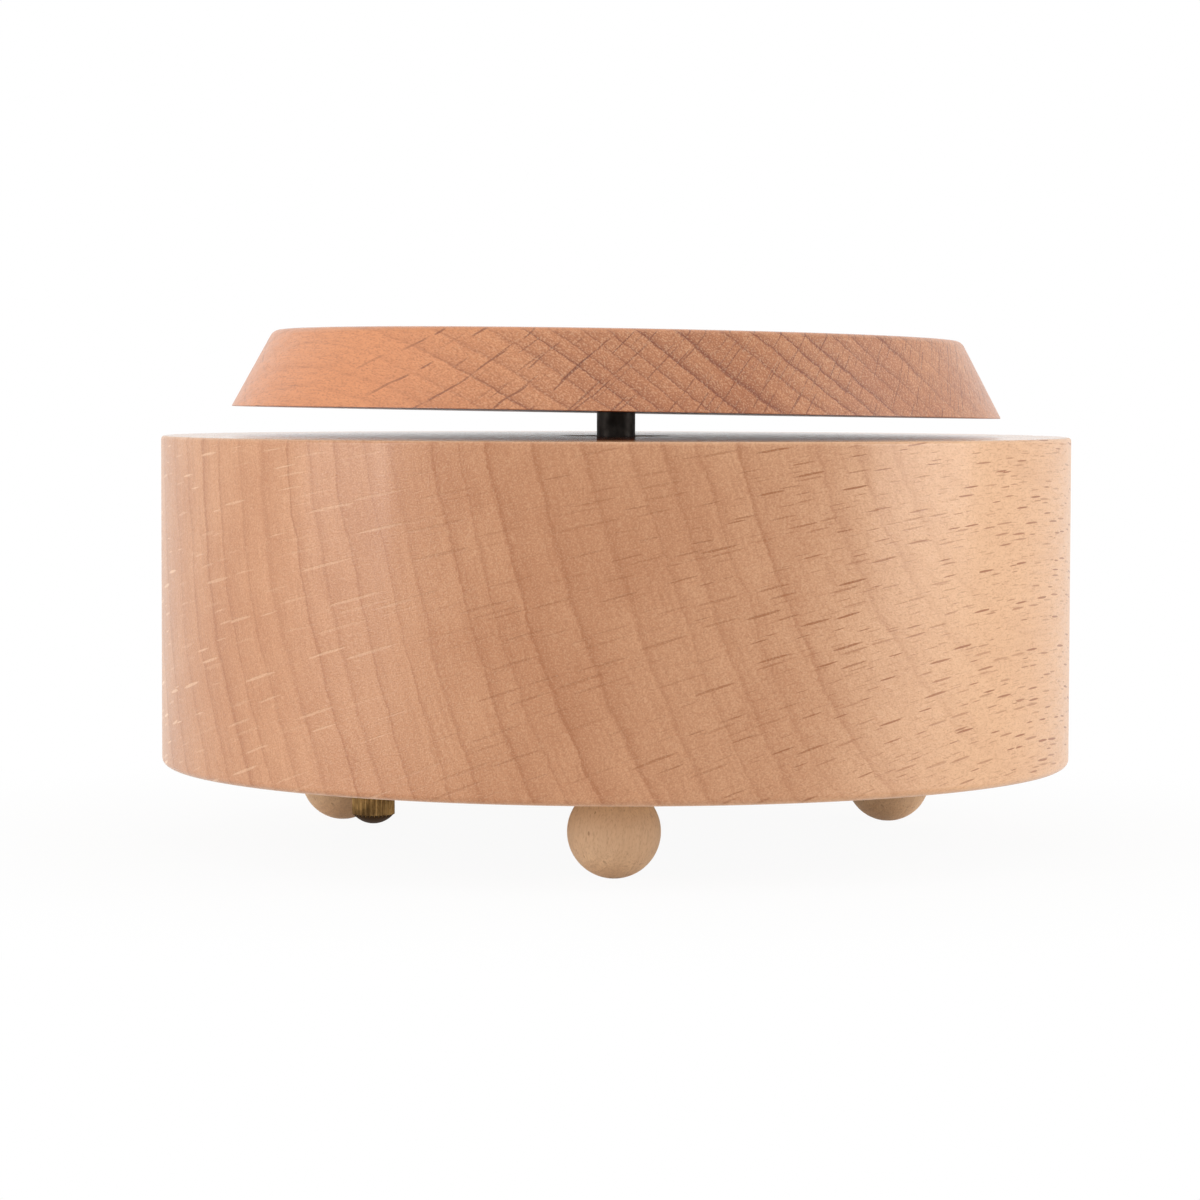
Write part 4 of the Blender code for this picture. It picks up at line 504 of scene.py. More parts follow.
class NodeSheet:
    """The nodes of one material, or of the world."""

    def __init__(self, owner: bpy.types.Material | bpy.types.World) -> None:
        """Starts with no nodes.

        Args:
            owner: The material or the world.
        """
        owner.use_nodes = True
        self.owner = owner
        self.tree = owner.node_tree
        self.tree.nodes.clear()

    def add(
        self, kind: str, inputs: dict[str | int, Value] | None = None, **settings: object
    ) -> bpy.types.Node:
        """Adds a node.

        Args:
            kind: Blender's name for the node, without its first words.
            inputs: A number, a colour or another node's output for each input.
            settings: The node's own choices.

        Returns:
            The node.
        """
        node = self.tree.nodes.new("ShaderNode" + kind)
        for name, choice in settings.items():
            setattr(node, name, choice)
        for name, value in (inputs or {}).items():
            if isinstance(value, Socket):
                self.tree.links.new(value, node.inputs[name])
            else:
                node.inputs[name].default_value = value
        return node

    def number(self, operation: str, *values: Value) -> Socket:
        """The result of a sum on plain numbers."""
        return self.add("Math", dict(enumerate(values)), operation=operation).outputs[0]

    def times(self, first: Value, *others: Value) -> Socket:
        """Numbers multiplied together.

        Args:
            first: The first number.
            others: The other numbers.

        Returns:
            Their product.
        """
        for other in others:
            first = self.number("MULTIPLY", first, other)
        return first

    def vector(self, operation: str, *values: Value) -> Socket:
        """The result of a sum on vectors, a number for a length or a dot product."""
        node = self.add("VectorMath", dict(enumerate(values)), operation=operation)
        return node.outputs["Value" if operation in ("LENGTH", "DOT_PRODUCT") else "Vector"]

    def parts(self, vector: Socket) -> bpy.types.bpy_prop_collection:
        """A vector's X, Y and Z."""
        return self.add("SeparateXYZ", {"Vector": vector}).outputs

    def joined(self, x: Value, y: Value, z: Value) -> Socket:
        """A vector of three numbers."""
        return self.add("CombineXYZ", {"X": x, "Y": y, "Z": z}).outputs["Vector"]

    def spot(self) -> tuple[Socket, Socket]:
        """The place on the piece in millimetres, and the surface's normal."""
        outputs = self.add("TexCoord").outputs
        return self.vector("MULTIPLY", outputs["Object"], PER_MM), outputs["Normal"]

    def stretched(self, place: Socket, lengths: Triple) -> Socket:
        """The place measured in these lengths along its three axes."""
        return self.vector("MULTIPLY", place, tuple(1 / length for length in lengths))

    def noise(self, place: Socket, detail: float = 2.0, roughness: float = 0.5) -> Socket:
        """A cloudy pattern from 0 to 1, about one cloud per unit."""
        inputs = {"Vector": place, "Scale": 1.0, "Detail": detail, "Roughness": roughness}
        return self.add("TexNoise", inputs).outputs["Fac"]

    def clouds(self, place: Socket, lengths: Triple, detail: float = 2.0, roughness: float = 0.5) -> Socket:
        """A cloudy pattern from 0 to 1, with clouds of about this size."""
        return self.noise(self.stretched(place, lengths), detail, roughness)

    def drift(self, place: Socket, lengths: Triple, reach: Triple, detail: float = 1.0) -> Socket:
        """A vector that wanders.

        Args:
            place: The place on the piece.
            lengths: Over what lengths it wanders.
            reach: How far it goes along each axis, half of this either way.
            detail: How much finer wandering is added.

        Returns:
            The vector.
        """
        inputs = {"Vector": self.stretched(place, lengths), "Scale": 1.0, "Detail": detail}
        colour = self.add("TexNoise", inputs).outputs["Color"]
        return self.vector("MULTIPLY", self.vector("SUBTRACT", colour, (0.5, 0.5, 0.5)), reach)

    def rescale(
        self, value: Socket, low: float, high: float, to_low: float = 0.0, to_high: float = 1.0
    ) -> Socket:
        """Moves a value smoothly from one range to another, and holds it at the ends.

        Args:
            value: The value.
            low: Where its own range starts.
            high: Where its own range ends.
            to_low: Where the new range starts.
            to_high: Where the new range ends.

        Returns:
            The new value.
        """
        node = self.add(
            "MapRange",
            {"Value": value, "From Min": low, "From Max": high, "To Min": to_low, "To Max": to_high},
            interpolation_type="SMOOTHSTEP",
            clamp=True,
        )
        return node.outputs["Result"]

    def ramp(self, value: Socket, stops: tuple[Pair, ...]) -> Socket:
        """A number that follows a value through stops.

        Args:
            value: The value.
            stops: Place and brightness of each stop.

        Returns:
            The number.
        """
        node = self.add("ValToRGB", {"Fac": value})
        elements = node.color_ramp.elements
        while len(elements) < len(stops):
            elements.new(0.5)
        for element, (place, grey) in zip(elements, stops):
            element.position = place
            element.color = (grey, grey, grey, 1)
        return self.add("RGBToBW", {"Color": node.outputs["Color"]}).outputs["Val"]

    def mix(self, factor: Value, first: Value, second: Value, blend: str = "MIX") -> Socket:
        """Two colours blended."""
        inputs = {0: factor, 6: first, 7: second}
        return self.add("Mix", inputs, data_type="RGBA", blend_type=blend).outputs[2]

    def bump(self, height: Socket, distance: float, strength: float) -> Socket:
        """A normal that follows the height."""
        inputs = {"Height": height, "Distance": distance, "Strength": strength}
        return self.add("Bump", inputs).outputs["Normal"]

    def surface(self, inputs: dict[str, Value]) -> bpy.types.Material:
        """Ends the sheet in a shader.

        Args:
            inputs: The shader's inputs.

        Returns:
            The sheet's material.
        """
        shader = self.add("BsdfPrincipled", inputs)
        self.add("OutputMaterial", {"Surface": shader.outputs["BSDF"]})
        return self.owner


def shade(red: float, green: float, blue: float) -> Colour:
    """A colour as it is seen on a screen, put into the linear light that a shader takes.

    Args:
        red: Its red, from 0 to 255.
        green: Its green.
        blue: Its blue.

    Returns:
        The colour in linear light.
    """

    def linear(part: float) -> float:
        """One channel in linear light."""
        part /= 255
        return part / 12.92 if part <= 0.04045 else ((part + 0.055) / 1.055) ** 2.4

    return (linear(red), linear(green), linear(blue), 1.0)


@dataclass(frozen=True)
class Log:
    """How a piece lies in the tree that it was cut from, in degrees and millimetres."""

    fibre_azimuth: float
    fibre_rise: float
    pith: Triple

    def axes(self) -> tuple[Vector, Vector, Vector]:
        """The log's own directions.

        Returns:
            Along the fibre, across it on the level, and across it upward.
        """
        azimuth = math.radians(self.fibre_azimuth)
        rise = math.radians(self.fibre_rise)
        level = math.cos(rise)
        fibre = Vector((math.cos(azimuth) * level, math.sin(azimuth) * level, math.sin(rise)))
        across = Vector((-math.sin(azimuth), math.cos(azimuth), 0))
        return fibre, across, fibre.cross(across)


@dataclass(frozen=True)
class Beech:
    """Beech with its year rings, its rays and its fine pores, with highlights painted on its pores and on the
    rays of one side. Lengths are in millimetres.
    """

    name: str
    slot: str
    log: Log
    pale: Colour
    deep: Colour
    line: Colour
    ray: Colour
    # Painted highlight: the colour of rays on the side where they catch the lamps; the same as ray where none
    # is painted.
    lit_side_ray: Colour
    end_grain: Colour
    long_grain: Colour
    ring_spacing: float = 4.2
    ring_strength: float = 1.0
    rings_end: float = 2.0
    ray_strength: float = 1.0
    ray_room: Triple = (4.0, 1.6, 8.0)
    ray_half: Triple = (1.6, 0.16, 3.6)
    ray_lines: float = 0.0
    mean_radius: float = 200.0
    roughness: float = 0.36
    flat_roughness: float = 0.14
    coat: float = 0.25
    # Painted highlight: the colour of the glints painted on the pores, and how strongly they are mixed in.
    painted_glint: Colour = shade(255, 216, 176)
    painted_glitter: float = 0.15

    @cache
    def material(self) -> bpy.types.Material:
        """Makes the material once.

        Returns:
            The material.
        """
        sheet = NodeSheet(bpy.data.materials.new(self.name))
        grain = Grain(sheet, self)
        place, ends, side = grain.place, grain.ends, grain.side
        rays = sheet.times(grain.rays(), grain.edgeways())
        streak = sheet.clouds(place, (9, 0.35, 0.35), 3.0, 0.6)
        speck = sheet.clouds(place, (0.5, 0.2, 0.2), 1.0)

        tone = sheet.rescale(sheet.clouds(place, (40, 12, 12), 3.0), 0.3, 0.7)
        colour = sheet.mix(tone, self.pale, self.deep)
        colour = sheet.mix(sheet.rescale(ends, 0.75, 0.25, 0.0, 0.8), colour, self.long_grain)
        across = sheet.times(sheet.rescale(ends, 0.55, 1.0), 0.7)
        colour = sheet.mix(across, colour, self.end_grain, "MULTIPLY")

        clear = sheet.rescale(side, self.rings_end, self.rings_end + 0.35, 1.0, 0.3)
        shown = sheet.rescale(ends, 0.2, 0.95, 0.10, 0.74)
        ringed = sheet.times(grain.rings(), shown, self.ring_strength, clear)
        shown = sheet.rescale(ends, 0.2, 0.8, 0.05, 0.24)
        layered = sheet.times(sheet.rescale(grain.layers(), 0.38, 0.72), shown)
        streaked = sheet.times(sheet.rescale(streak, 0.35, 0.75), 0.16)
        for dark in (ringed, layered, streaked):
            colour = sheet.mix(dark, colour, self.line)

        # The rays are the wood's own; on one side of the log they are painted pale as a highlight, as if
        # catching the lamps, and on the other they keep their own dark colour.
        unlit_side = sheet.rescale(side, -0.12, 0.16)
        narrowed = sheet.number("POWER", rays, sheet.rescale(unlit_side, 0.0, 1.0, 2.0, 1.0))
        shown = sheet.times(narrowed, sheet.rescale(ends, 0.55, 1.0, 1.0, 0.40), 0.95 * self.ray_strength)
        colour = sheet.mix(shown, colour, sheet.mix(unlit_side, self.lit_side_ray, self.ray))
        if self.ray_lines:
            lines = sheet.times(grain.ray_lines(), self.ray_lines, sheet.rescale(ends, 0.12, 0.42))
            colour = sheet.mix(lines, colour, self.ray)
        colour = sheet.mix(sheet.times(grain.pores(), 0.30), colour, self.ray)
        colour = sheet.mix(sheet.rescale(speck, 0.48, 0.72, 0.0, 0.26), colour, self.line)
        # Painted highlight: pale specks mixed into the colour as glints on the pores, strongest on end grain.
        painted_glint_specks = sheet.rescale(speck, 0.50, 0.33)
        painted_glitter = sheet.times(sheet.rescale(ends, 0.25, 0.7, 0.1, 1.0), self.painted_glitter, painted_glint_specks)
        colour = sheet.mix(painted_glitter, colour, self.painted_glint)

        flat = sheet.rescale(sheet.vector("DOT_PRODUCT", grain.normal, (0, 0, 1)), 0.9, 0.99)
        height = sheet.number("MULTIPLY_ADD", rays, -0.6, sheet.number("MULTIPLY_ADD", speck, 0.9, streak))
        height = sheet.times(
            height, sheet.rescale(ends, 0.3, 0.9, 0.6, 1.2), sheet.rescale(flat, 0.0, 1.0, 1.0, 0.05)
        )
        uneven = sheet.rescale(sheet.clouds(place, (3, 0.5, 0.5)), 0.3, 0.7)
        even = sheet.rescale(flat, 0.0, 1.0, self.roughness, self.flat_roughness)
        return sheet.surface(
            {
                "Base Color": colour,
                "Roughness": sheet.number("MULTIPLY_ADD", uneven, 0.08, even),
                "IOR": 1.5,
                "Coat Weight": self.coat,
                "Coat Roughness": 0.15,
                "Normal": sheet.bump(height, 0.05 * MM, 0.8),
            }
        )


class Grain:
    """The pattern in one piece of beech, as nodes: its place along the fibre, across it and up."""

    def __init__(self, sheet: NodeSheet, beech: Beech) -> None:
        """Finds where in the tree each point lies, and how far from the pith.

        Args:
            sheet: The material's nodes.
            beech: The finish that the pattern belongs to.
        """
        self.sheet = sheet
        self.beech = beech
        self.axes = beech.log.axes()
        turn = Matrix(self.axes)
        coordinates = sheet.add("TexCoord").outputs
        inputs = {
            "Vector": coordinates["Object"],
            "Location": tuple(-(turn @ Vector(beech.log.pith))),
            "Rotation": tuple(turn.to_euler()),
            "Scale": PER_MM,
        }
        self.place = sheet.add("Mapping", inputs, vector_type="POINT").outputs["Vector"]
        self.normal = coordinates["Normal"]
        self.ends = sheet.number("ABSOLUTE", self._facing(0))
        self.side = self._facing(1)
        self.bent = self.place
        waves = (((80, 45, 45), 6, 1.0), ((16, 5, 5), 1.1, 2.0), ((2.5, 0.8, 0.8), 0.5, 1.0))
        for lengths, reach, detail in waves:
            wander = sheet.drift(self.place, lengths, (0, reach, reach), detail)
            self.bent = sheet.vector("ADD", self.bent, wander)
        self.radius = sheet.vector("LENGTH", sheet.vector("MULTIPLY", self.bent, (0, 1, 1)))

    def _facing(self, axis: int) -> Socket:
        """How far the surface faces along one of the log's three axes."""
        return self.sheet.vector("DOT_PRODUCT", self.normal, tuple(self.axes[axis]))

    def _arc(self, parts: bpy.types.bpy_prop_collection, radius: float) -> Socket:
        """The way round the pith to a place of these parts, at this radius."""
        return self.sheet.times(self.sheet.number("ARCTAN2", parts["Z"], parts["Y"]), radius)

    def rings(self) -> Socket:
        """The year rings.

        Returns:
            How dark a ring is here.
        """
        sheet = self.sheet
        slow = sheet.number("DIVIDE", self.radius, 11.0)
        uneven = sheet.add("TexNoise", {"W": slow, "Scale": 1.0}, noise_dimensions="1D").outputs["Fac"]
        even = sheet.number("DIVIDE", self.radius, self.beech.ring_spacing)
        years = sheet.number("MULTIPLY_ADD", uneven, 1.4, even)
        early = ((0.0, 0.45), (0.04, 0.05), (0.32, 0.05), (0.70, 0.26))
        late = ((0.89, 0.50), (0.93, 0.95), (0.975, 1.0), (1.0, 0.45))
        within = sheet.ramp(sheet.number("FRACT", years), early + late)
        year = sheet.number("FLOOR", years)
        dark = sheet.add("TexWhiteNoise", {"W": year}, noise_dimensions="1D").outputs["Value"]
        return sheet.times(within, sheet.rescale(dark, 0.0, 1.0, 0.55, 1.0))

    def layers(self) -> Socket:
        """Thin layers of growth.

        Returns:
            How dark a layer is here, from 0 to 1.
        """
        sheet = self.sheet
        parts = sheet.parts(self.bent)
        along = sheet.number("DIVIDE", parts["X"], 14.0)
        out = sheet.number("DIVIDE", self.radius, 0.5)
        return sheet.noise(sheet.joined(along, self._arc(parts, self.beech.mean_radius / 8.0), out), 2.0, 0.6)

    def rays(self) -> Socket:
        """The rays: thin upright lenses that run from the pith to the bark, some large and more small.

        Returns:
            How much of a ray is here.
        """
        sheet, beech = self.sheet, self.beech
        parts = sheet.parts(self.place)
        place = sheet.joined(parts["X"], self._arc(parts, beech.mean_radius), self.radius)
        place = sheet.vector("ADD", place, sheet.drift(self.place, (5, 5, 5), (0, 0.25, 0)))
        large = self._lenses(place, beech.ray_room, beech.ray_half)
        apart = sheet.vector("ADD", place, (51.3, 17.7, 33.1))
        room = tuple(0.6 * length for length in beech.ray_room)
        small = self._lenses(apart, room, tuple(0.55 * length for length in beech.ray_half))
        return sheet.number("MAXIMUM", large, sheet.times(small, 0.42))

    def ray_lines(self) -> Socket:
        """Broken lines out from the pith, where end grain cuts the long rays across.

        Returns:
            How much of a line is here.
        """
        sheet = self.sheet
        parts = sheet.parts(self.place)
        waves = sheet.clouds(self.place, (6, 6, 6), 1.0)
        waves = sheet.number("MULTIPLY_ADD", waves, 0.7, self._arc(parts, self.beech.mean_radius))
        inputs = {"W": sheet.number("DIVIDE", waves, 2.1), "Scale": 1.0, "Randomness": 0.9}
        cells = sheet.add("TexVoronoi", inputs, voronoi_dimensions="1D").outputs
        thin = sheet.rescale(cells["Distance"], 0.050, 0.020)
        chance = sheet.add("SeparateColor", {"Color": cells["Color"]}).outputs["Red"]
        along = sheet.number("DIVIDE", parts["X"], 3.0)
        out = sheet.number("DIVIDE", self.radius, 4.5)
        breaks = sheet.noise(sheet.joined(along, sheet.times(chance, 60.0), out), 1.0)
        return sheet.times(thin, sheet.rescale(breaks, 0.45, 0.55))

    def edgeways(self) -> Socket:
        """How far the surface cuts across the rays, so that they show as lines and not as wide flecks.

        Returns:
            One where the surface cuts across the rays, less where it lies along them.
        """
        sheet = self.sheet
        parts = sheet.parts(self.bent)
        level = sheet.times(self.side, parts["Z"])
        upright = sheet.times(self._facing(2), parts["Y"])
        face = sheet.number("ABSOLUTE", sheet.number("SUBTRACT", upright, level))
        return sheet.rescale(sheet.number("DIVIDE", face, self.radius), 0.70, 0.92, 1.0, 0.25)

    def _lenses(self, place: Socket, room: Triple, half: Triple) -> Socket:
        """Lenses strewn through the wood.

        Args:
            place: Place in the wood.
            room: Size of the room that holds one lens.
            half: Half of a lens's size.

        Returns:
            How much of a lens is here.
        """
        sheet = self.sheet
        scaled = sheet.stretched(place, room)
        cells = sheet.add("TexVoronoi", {"Vector": scaled, "Scale": 1.0, "Randomness": 1.0}).outputs
        away = sheet.vector("SUBTRACT", scaled, cells["Position"])
        away = sheet.vector("MULTIPLY", away, tuple(whole / part for whole, part in zip(room, half)))
        chance = sheet.add("SeparateColor", {"Color": cells["Color"]}).outputs
        size = sheet.rescale(chance["Red"], 0.0, 1.0, 0.6, 1.3)
        reach = sheet.number("DIVIDE", sheet.vector("LENGTH", away), size)
        strength = sheet.rescale(chance["Green"], 0.0, 1.0, 0.45, 1.0)
        return sheet.times(sheet.rescale(reach, 1.05, 0.7), strength)

    def pores(self) -> Socket:
        """Fine pores, long along the fibre and tiny dots on end grain."""
        return self.sheet.rescale(self.sheet.clouds(self.place, (2.6, 0.16, 0.16), 1.0), 0.60, 0.74)


@dataclass(frozen=True)
class Plywood:
    """Plywood with a rotary cut face and its plies on edge. Lengths are in millimetres."""

    name: str = "plywood_face"
    slot: str = "plywood"
    pale: Colour = shade(226, 200, 162)
    deep: Colour = shade(210, 178, 136)
    ply: Colour = shade(140, 100, 66)
    ply_thickness: float = 1.0

    @cache
    def material(self) -> bpy.types.Material:
        """Makes the material once.

        Returns:
            The material.
        """
        sheet = NodeSheet(bpy.data.materials.new(self.name))
        place, normal = sheet.spot()
        bent = sheet.vector("ADD", place, sheet.drift(place, (40, 90, 40), (9, 0, 0)))
        arches = sheet.clouds(bent, (2.2, 75, 40))
        fine = sheet.clouds(place, (0.3, 8, 0.3), 3.0, 0.6)
        colour = sheet.mix(sheet.rescale(arches, 0.35, 0.65), self.pale, self.deep)
        colour = sheet.mix(sheet.times(sheet.rescale(fine, 0.4, 0.75), 0.22), colour, self.ply)
        plies = sheet.number("PINGPONG", sheet.parts(place)["Z"], self.ply_thickness)
        facing = sheet.number("ABSOLUTE", sheet.vector("DOT_PRODUCT", normal, (0, 0, 1)))
        on_edge = sheet.times(sheet.rescale(facing, 0.6, 0.3), sheet.rescale(plies, 0.35, 0.65))
        return sheet.surface(
            {
                "Base Color": sheet.mix(on_edge, colour, self.ply),
                "Roughness": sheet.number("MULTIPLY_ADD", fine, 0.15, 0.55),
                "Normal": sheet.bump(fine, 0.05 * MM, 0.6),
            }
        )


class Brushing(Enum):
    """The way in which a metal's surface was worked: how long its marks are, in millimetres."""

    DRAWN_X = (12.0, 0.12, 0.12)
    DRAWN_Y = (0.12, 12.0, 0.12)
    DRAWN_Z = (0.12, 0.12, 12.0)
    TUMBLED = (0.6, 0.6, 0.6)


@dataclass(frozen=True)
class Metal:
    """Metal with its tarnish, its tool marks and, where asked for, painted shade on the faces that look down.
    """

    name: str
    slot: str
    bright: Colour
    dull: Colour
    brushing: Brushing
    roughness: float
    tarnish: float
    # Painted shade: how far the faces that look down are darkened towards the dull colour.
    painted_under_shade: float = 0.0

    @cache
    def material(self) -> bpy.types.Material:
        """Makes the material once.

        Returns:
            The material.
        """
        sheet = NodeSheet(bpy.data.materials.new(self.name))
        place, normal = sheet.spot()
        marks = sheet.clouds(place, self.brushing.value, 3.0, 0.6)
        cloud = sheet.clouds(place, (3.0, 3.0, 3.0), 4.0, 0.55)
        specks = sheet.rescale(sheet.clouds(place, (0.35, 0.35, 0.35)), 0.62, 0.75)
        # The mask below holds real tarnish in clouds and specks, and painted shade on the faces that look
        # down.
        down = sheet.vector("DOT_PRODUCT", normal, (0, 0, -1))
        tarnish_and_shade = sheet.times(sheet.rescale(cloud, 0.35, 0.7), self.tarnish)
        tarnish_and_shade = sheet.number("MAXIMUM", tarnish_and_shade, sheet.times(specks, self.tarnish * 0.8))
        tarnish_and_shade = sheet.number("MAXIMUM", tarnish_and_shade, sheet.times(sheet.rescale(down, 0.1, 0.5), self.painted_under_shade))
        rough = sheet.number("MULTIPLY_ADD", tarnish_and_shade, 0.25, self.roughness)
        return sheet.surface(
            {
                "Base Color": sheet.mix(tarnish_and_shade, self.bright, self.dull),
                "Metallic": 1.0,
                "Roughness": sheet.number("MULTIPLY_ADD", marks, 0.14, rough),
                "Normal": sheet.bump(marks, 0.008 * MM, 0.5),
            }
        )


@dataclass(frozen=True)
class Moulded:
    """Moulded plastic with a faint sparked grain."""

    name: str = "moulded_plastic"
    slot: str = "fan_plastic"
    colour: Colour = shade(233, 230, 220)
    shadow: Colour = shade(205, 200, 186)

    @cache
    def material(self) -> bpy.types.Material:
        """Makes the material once.

        Returns:
            The material.
        """
        sheet = NodeSheet(bpy.data.materials.new(self.name))
        place, _ = sheet.spot()
        grain = sheet.clouds(place, (0.2, 0.2, 0.2))
        flow = sheet.clouds(place, (4.0, 4.0, 4.0))
        return sheet.surface(
            {
                "Base Color": sheet.mix(sheet.rescale(flow, 0.3, 0.7), self.colour, self.shadow),
                "Roughness": sheet.number("MULTIPLY_ADD", grain, 0.2, 0.35),
                "Normal": sheet.bump(grain, 0.02 * MM, 0.4),
            }
        )


Look = Beech | Plywood | Metal | Moulded


# Finishes

DRUM_BEECH = Beech(
    name="lacquered_beech_drum",
    slot="lacquered_beech",
    log=Log(fibre_azimuth=-116.0, fibre_rise=0.0, pith=(172.6, -84.1, 85.0)),
    pale=shade(221, 169, 129),
    deep=shade(209, 154, 114),
    line=shade(172, 108, 66),
    ray=shade(158, 94, 44),
    # Painted highlight: rays on the drum's left side, towards the lamps, are pale.
    lit_side_ray=shade(250, 208, 170),
    end_grain=shade(244, 230, 220),
    long_grain=shade(236, 190, 146),
)
DISC_BEECH = Beech(
    name="lacquered_beech_disc",
    slot="lacquered_beech",
    log=Log(fibre_azimuth=-55.8, fibre_rise=0.0, pith=(81.0, 55.1, 170.0)),
    pale=shade(210, 146, 102),
    deep=shade(194, 128, 86),
    line=shade(136, 72, 40),
    ray=shade(128, 68, 38),
    lit_side_ray=shade(128, 68, 38),
    end_grain=shade(236, 228, 220),
    long_grain=shade(228, 150, 98),
    ring_spacing=2.7,
    ring_strength=2.0,
    rings_end=0.05,
    ray_strength=1.5,
    ray_room=(2.2, 1.3, 7.0),
    ray_half=(1.3, 0.09, 3.4),
    ray_lines=0.75,
    mean_radius=165.0,
    # Strength of the glints painted on the pores, a painted highlight.
    painted_glitter=0.24,
)


def bare_beech(name: str, at: Pair) -> Beech:
    """Unlacquered beech of a small turned piece, cut upright from its own place in a log.

    Args:
        name: The name of the material.
        at: Where the piece stands, in millimetres.

    Returns:
        The finish.
    """
    return Beech(
        name=name,
        slot="bare_beech",
        log=Log(fibre_azimuth=20.0, fibre_rise=82.0, pith=(at[0] + 60.0, at[1] + 35.0, 5.0)),
        pale=shade(255, 224, 186),
        deep=shade(246, 207, 166),
        line=shade(190, 142, 104),
        ray=shade(158, 104, 72),
        lit_side_ray=shade(158, 104, 72),
        end_grain=shade(240, 230, 220),
        long_grain=shade(232, 194, 156),
        ring_spacing=3.0,
        ring_strength=0.2,
        ray_strength=0.75,
        ray_room=(1.5, 1.1, 1.5),
        ray_half=(0.26, 0.12, 0.26),
        mean_radius=70.0,
        # Strength of the glints painted on the pores, a painted highlight.
        painted_glitter=0.2,
        roughness=0.6,
        flat_roughness=0.6,
        coat=0.0,
    )


DRAWN_X, DRAWN_Y, DRAWN_Z, TUMBLED = Brushing
BLACKENED = Metal(
    "blackened_steel", "blackened_steel", shade(78, 72, 68), shade(44, 39, 36), TUMBLED, 0.34, 0.6
)
BRIGHT = Metal("bright_steel", "bright_steel", shade(196, 196, 198), shade(150, 148, 146), DRAWN_X, 0.24, 0.3)
SPRING = Metal("spring_steel", "spring_steel", shade(172, 176, 186), shade(112, 116, 130), DRAWN_Y, 0.22, 0.5)
NICKEL = Metal("nickel_plate", "nickel_plate", shade(206, 202, 192), shade(170, 164, 152), DRAWN_X, 0.30, 0.3)
BRASS = Metal("polished_brass", "brass", shade(226, 188, 112), shade(176, 130, 66), DRAWN_Z, 0.24, 0.35)
# The last number paints shade on the knob's faces that look down.
AGED_BRASS = Metal(
    "aged_brass", "aged_brass", shade(162, 128, 80), shade(66, 46, 27), DRAWN_Z, 0.38, 0.75, 1.0
)


# The wooden case


@dataclass
class Drum:
    """The turned drum, bored out from below under its top board."""

    radius: float = 60.0 * MM
    low: float = 10.3641 * MM
    high: float = 53.4641 * MM
    board: float = 6.0 * MM
    cavity: float = 41.0 * MM
    rebate: float = 54.0 * MM
    ledge: float = 13.6641 * MM
    shaft_hole: float = 7.25 * MM
    top_round: float = 0.5 * MM
    bottom_round: float = 0.9 * MM
    hole_edge: float = 0.25 * MM
    fit: float = 0.3 * MM
    sides: int = 192
    hole_sides: int = 24

    def build(self) -> None:
        """Turns the drum, bores it and drills it for its dowels and screws, as far as each goes in."""
        drum = Workpiece.cylinder("turned_drum", self.radius, self.low, self.high, self.sides)
        under = self.high - self.board
        hollow = ((self.shaft_hole, self.high), (self.shaft_hole, under), (self.cavity, under))
        drum.turn((self.radius, self.high), (*hollow, (self.cavity, self.ledge), (self.rebate, self.ledge)))
        drum.turn((self.radius, self.low), ((self.rebate, self.low),), up=False)
        drum.pick_faces(
            lambda middle, normal: middle.xy.length < 10 * NEAR
            and min(abs(middle.z - self.low), abs(middle.z - self.ledge)) < NEAR
        )
        bpy.ops.mesh.bridge_edge_loops()
        drum.soften_ring(self.radius, self.high, self.top_round, 4)
        drum.soften_ring(self.radius, self.low, self.bottom_round, 5)
        mouths = ((self.shaft_hole, self.high), (self.rebate, self.low), (self.cavity, self.ledge))
        for radius, height in mouths:
            drum.soften_ring(radius, height, self.hole_edge)
        for node in (*(f"foot_dowel_{place}" for place in FEET), *COVER_SCREWS, *MOVEMENT_SCREWS):
            start = under if node in MOVEMENT_SCREWS else self.ledge
            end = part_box(node)[1].z + self.fit
            drum.bore(shank_radius(node) + self.fit, start - MM, end, stand(node), self.hole_sides)
        drum.finish(DRUM_BEECH, "case", "base_drum")


def shank_radius(node: str, reach: float = 0.7 * MM) -> float:
    """The radius of a screw or dowel near its upper end, read from its own points.

    Args:
        node: The name of the node.
        reach: How far below the upper end its points are read.

    Returns:
        The radius.
    """
    middle = Vector(stand(node))
    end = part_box(node)[1].z - reach
    points = [vertex.co for vertex in NODES[node].data.vertices]
    return max((point.xy - middle).length for point in points if point.z > end)


@dataclass
class Cover:
    """The bottom board, let in flush under the drum."""

    radius: float = 53.7 * MM
    low: float = 10.3641 * MM
    high: float = 13.3641 * MM
    dowel: float = 1.5 * MM
    bush: float = 1.9 * MM
    edge: float = 0.25 * MM
    fit: float = 0.3 * MM
    sides: int = 192
    sink_sides: int = 48

    def build(self) -> None:
        """Cuts the board and its holes."""
        cover = Workpiece.cylinder("cover_board", self.radius, self.low, self.high, self.sides)
        cover.soften_ring(self.radius, self.low, self.edge)
        cover.soften_ring(self.radius, self.high, self.edge)
        past = self.high + MM
        for place in FEET:
            cover.bore(self.dowel + self.fit, self.low - MM, past, stand(f"foot_dowel_{place}"))
        cover.bore(self.bush + self.fit, self.low - MM, past, stand("stop_rod"))
        for node in COVER_SCREWS:
            low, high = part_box(node)
            head, shank = (high.x - low.x) / 2 + self.fit, shank_radius(node) + self.fit
            cover.countersink(head, shank, self.low, past, stand(node), self.sink_sides, below=MM)
        cover.finish(Plywood(), "case", "bottom_cover")


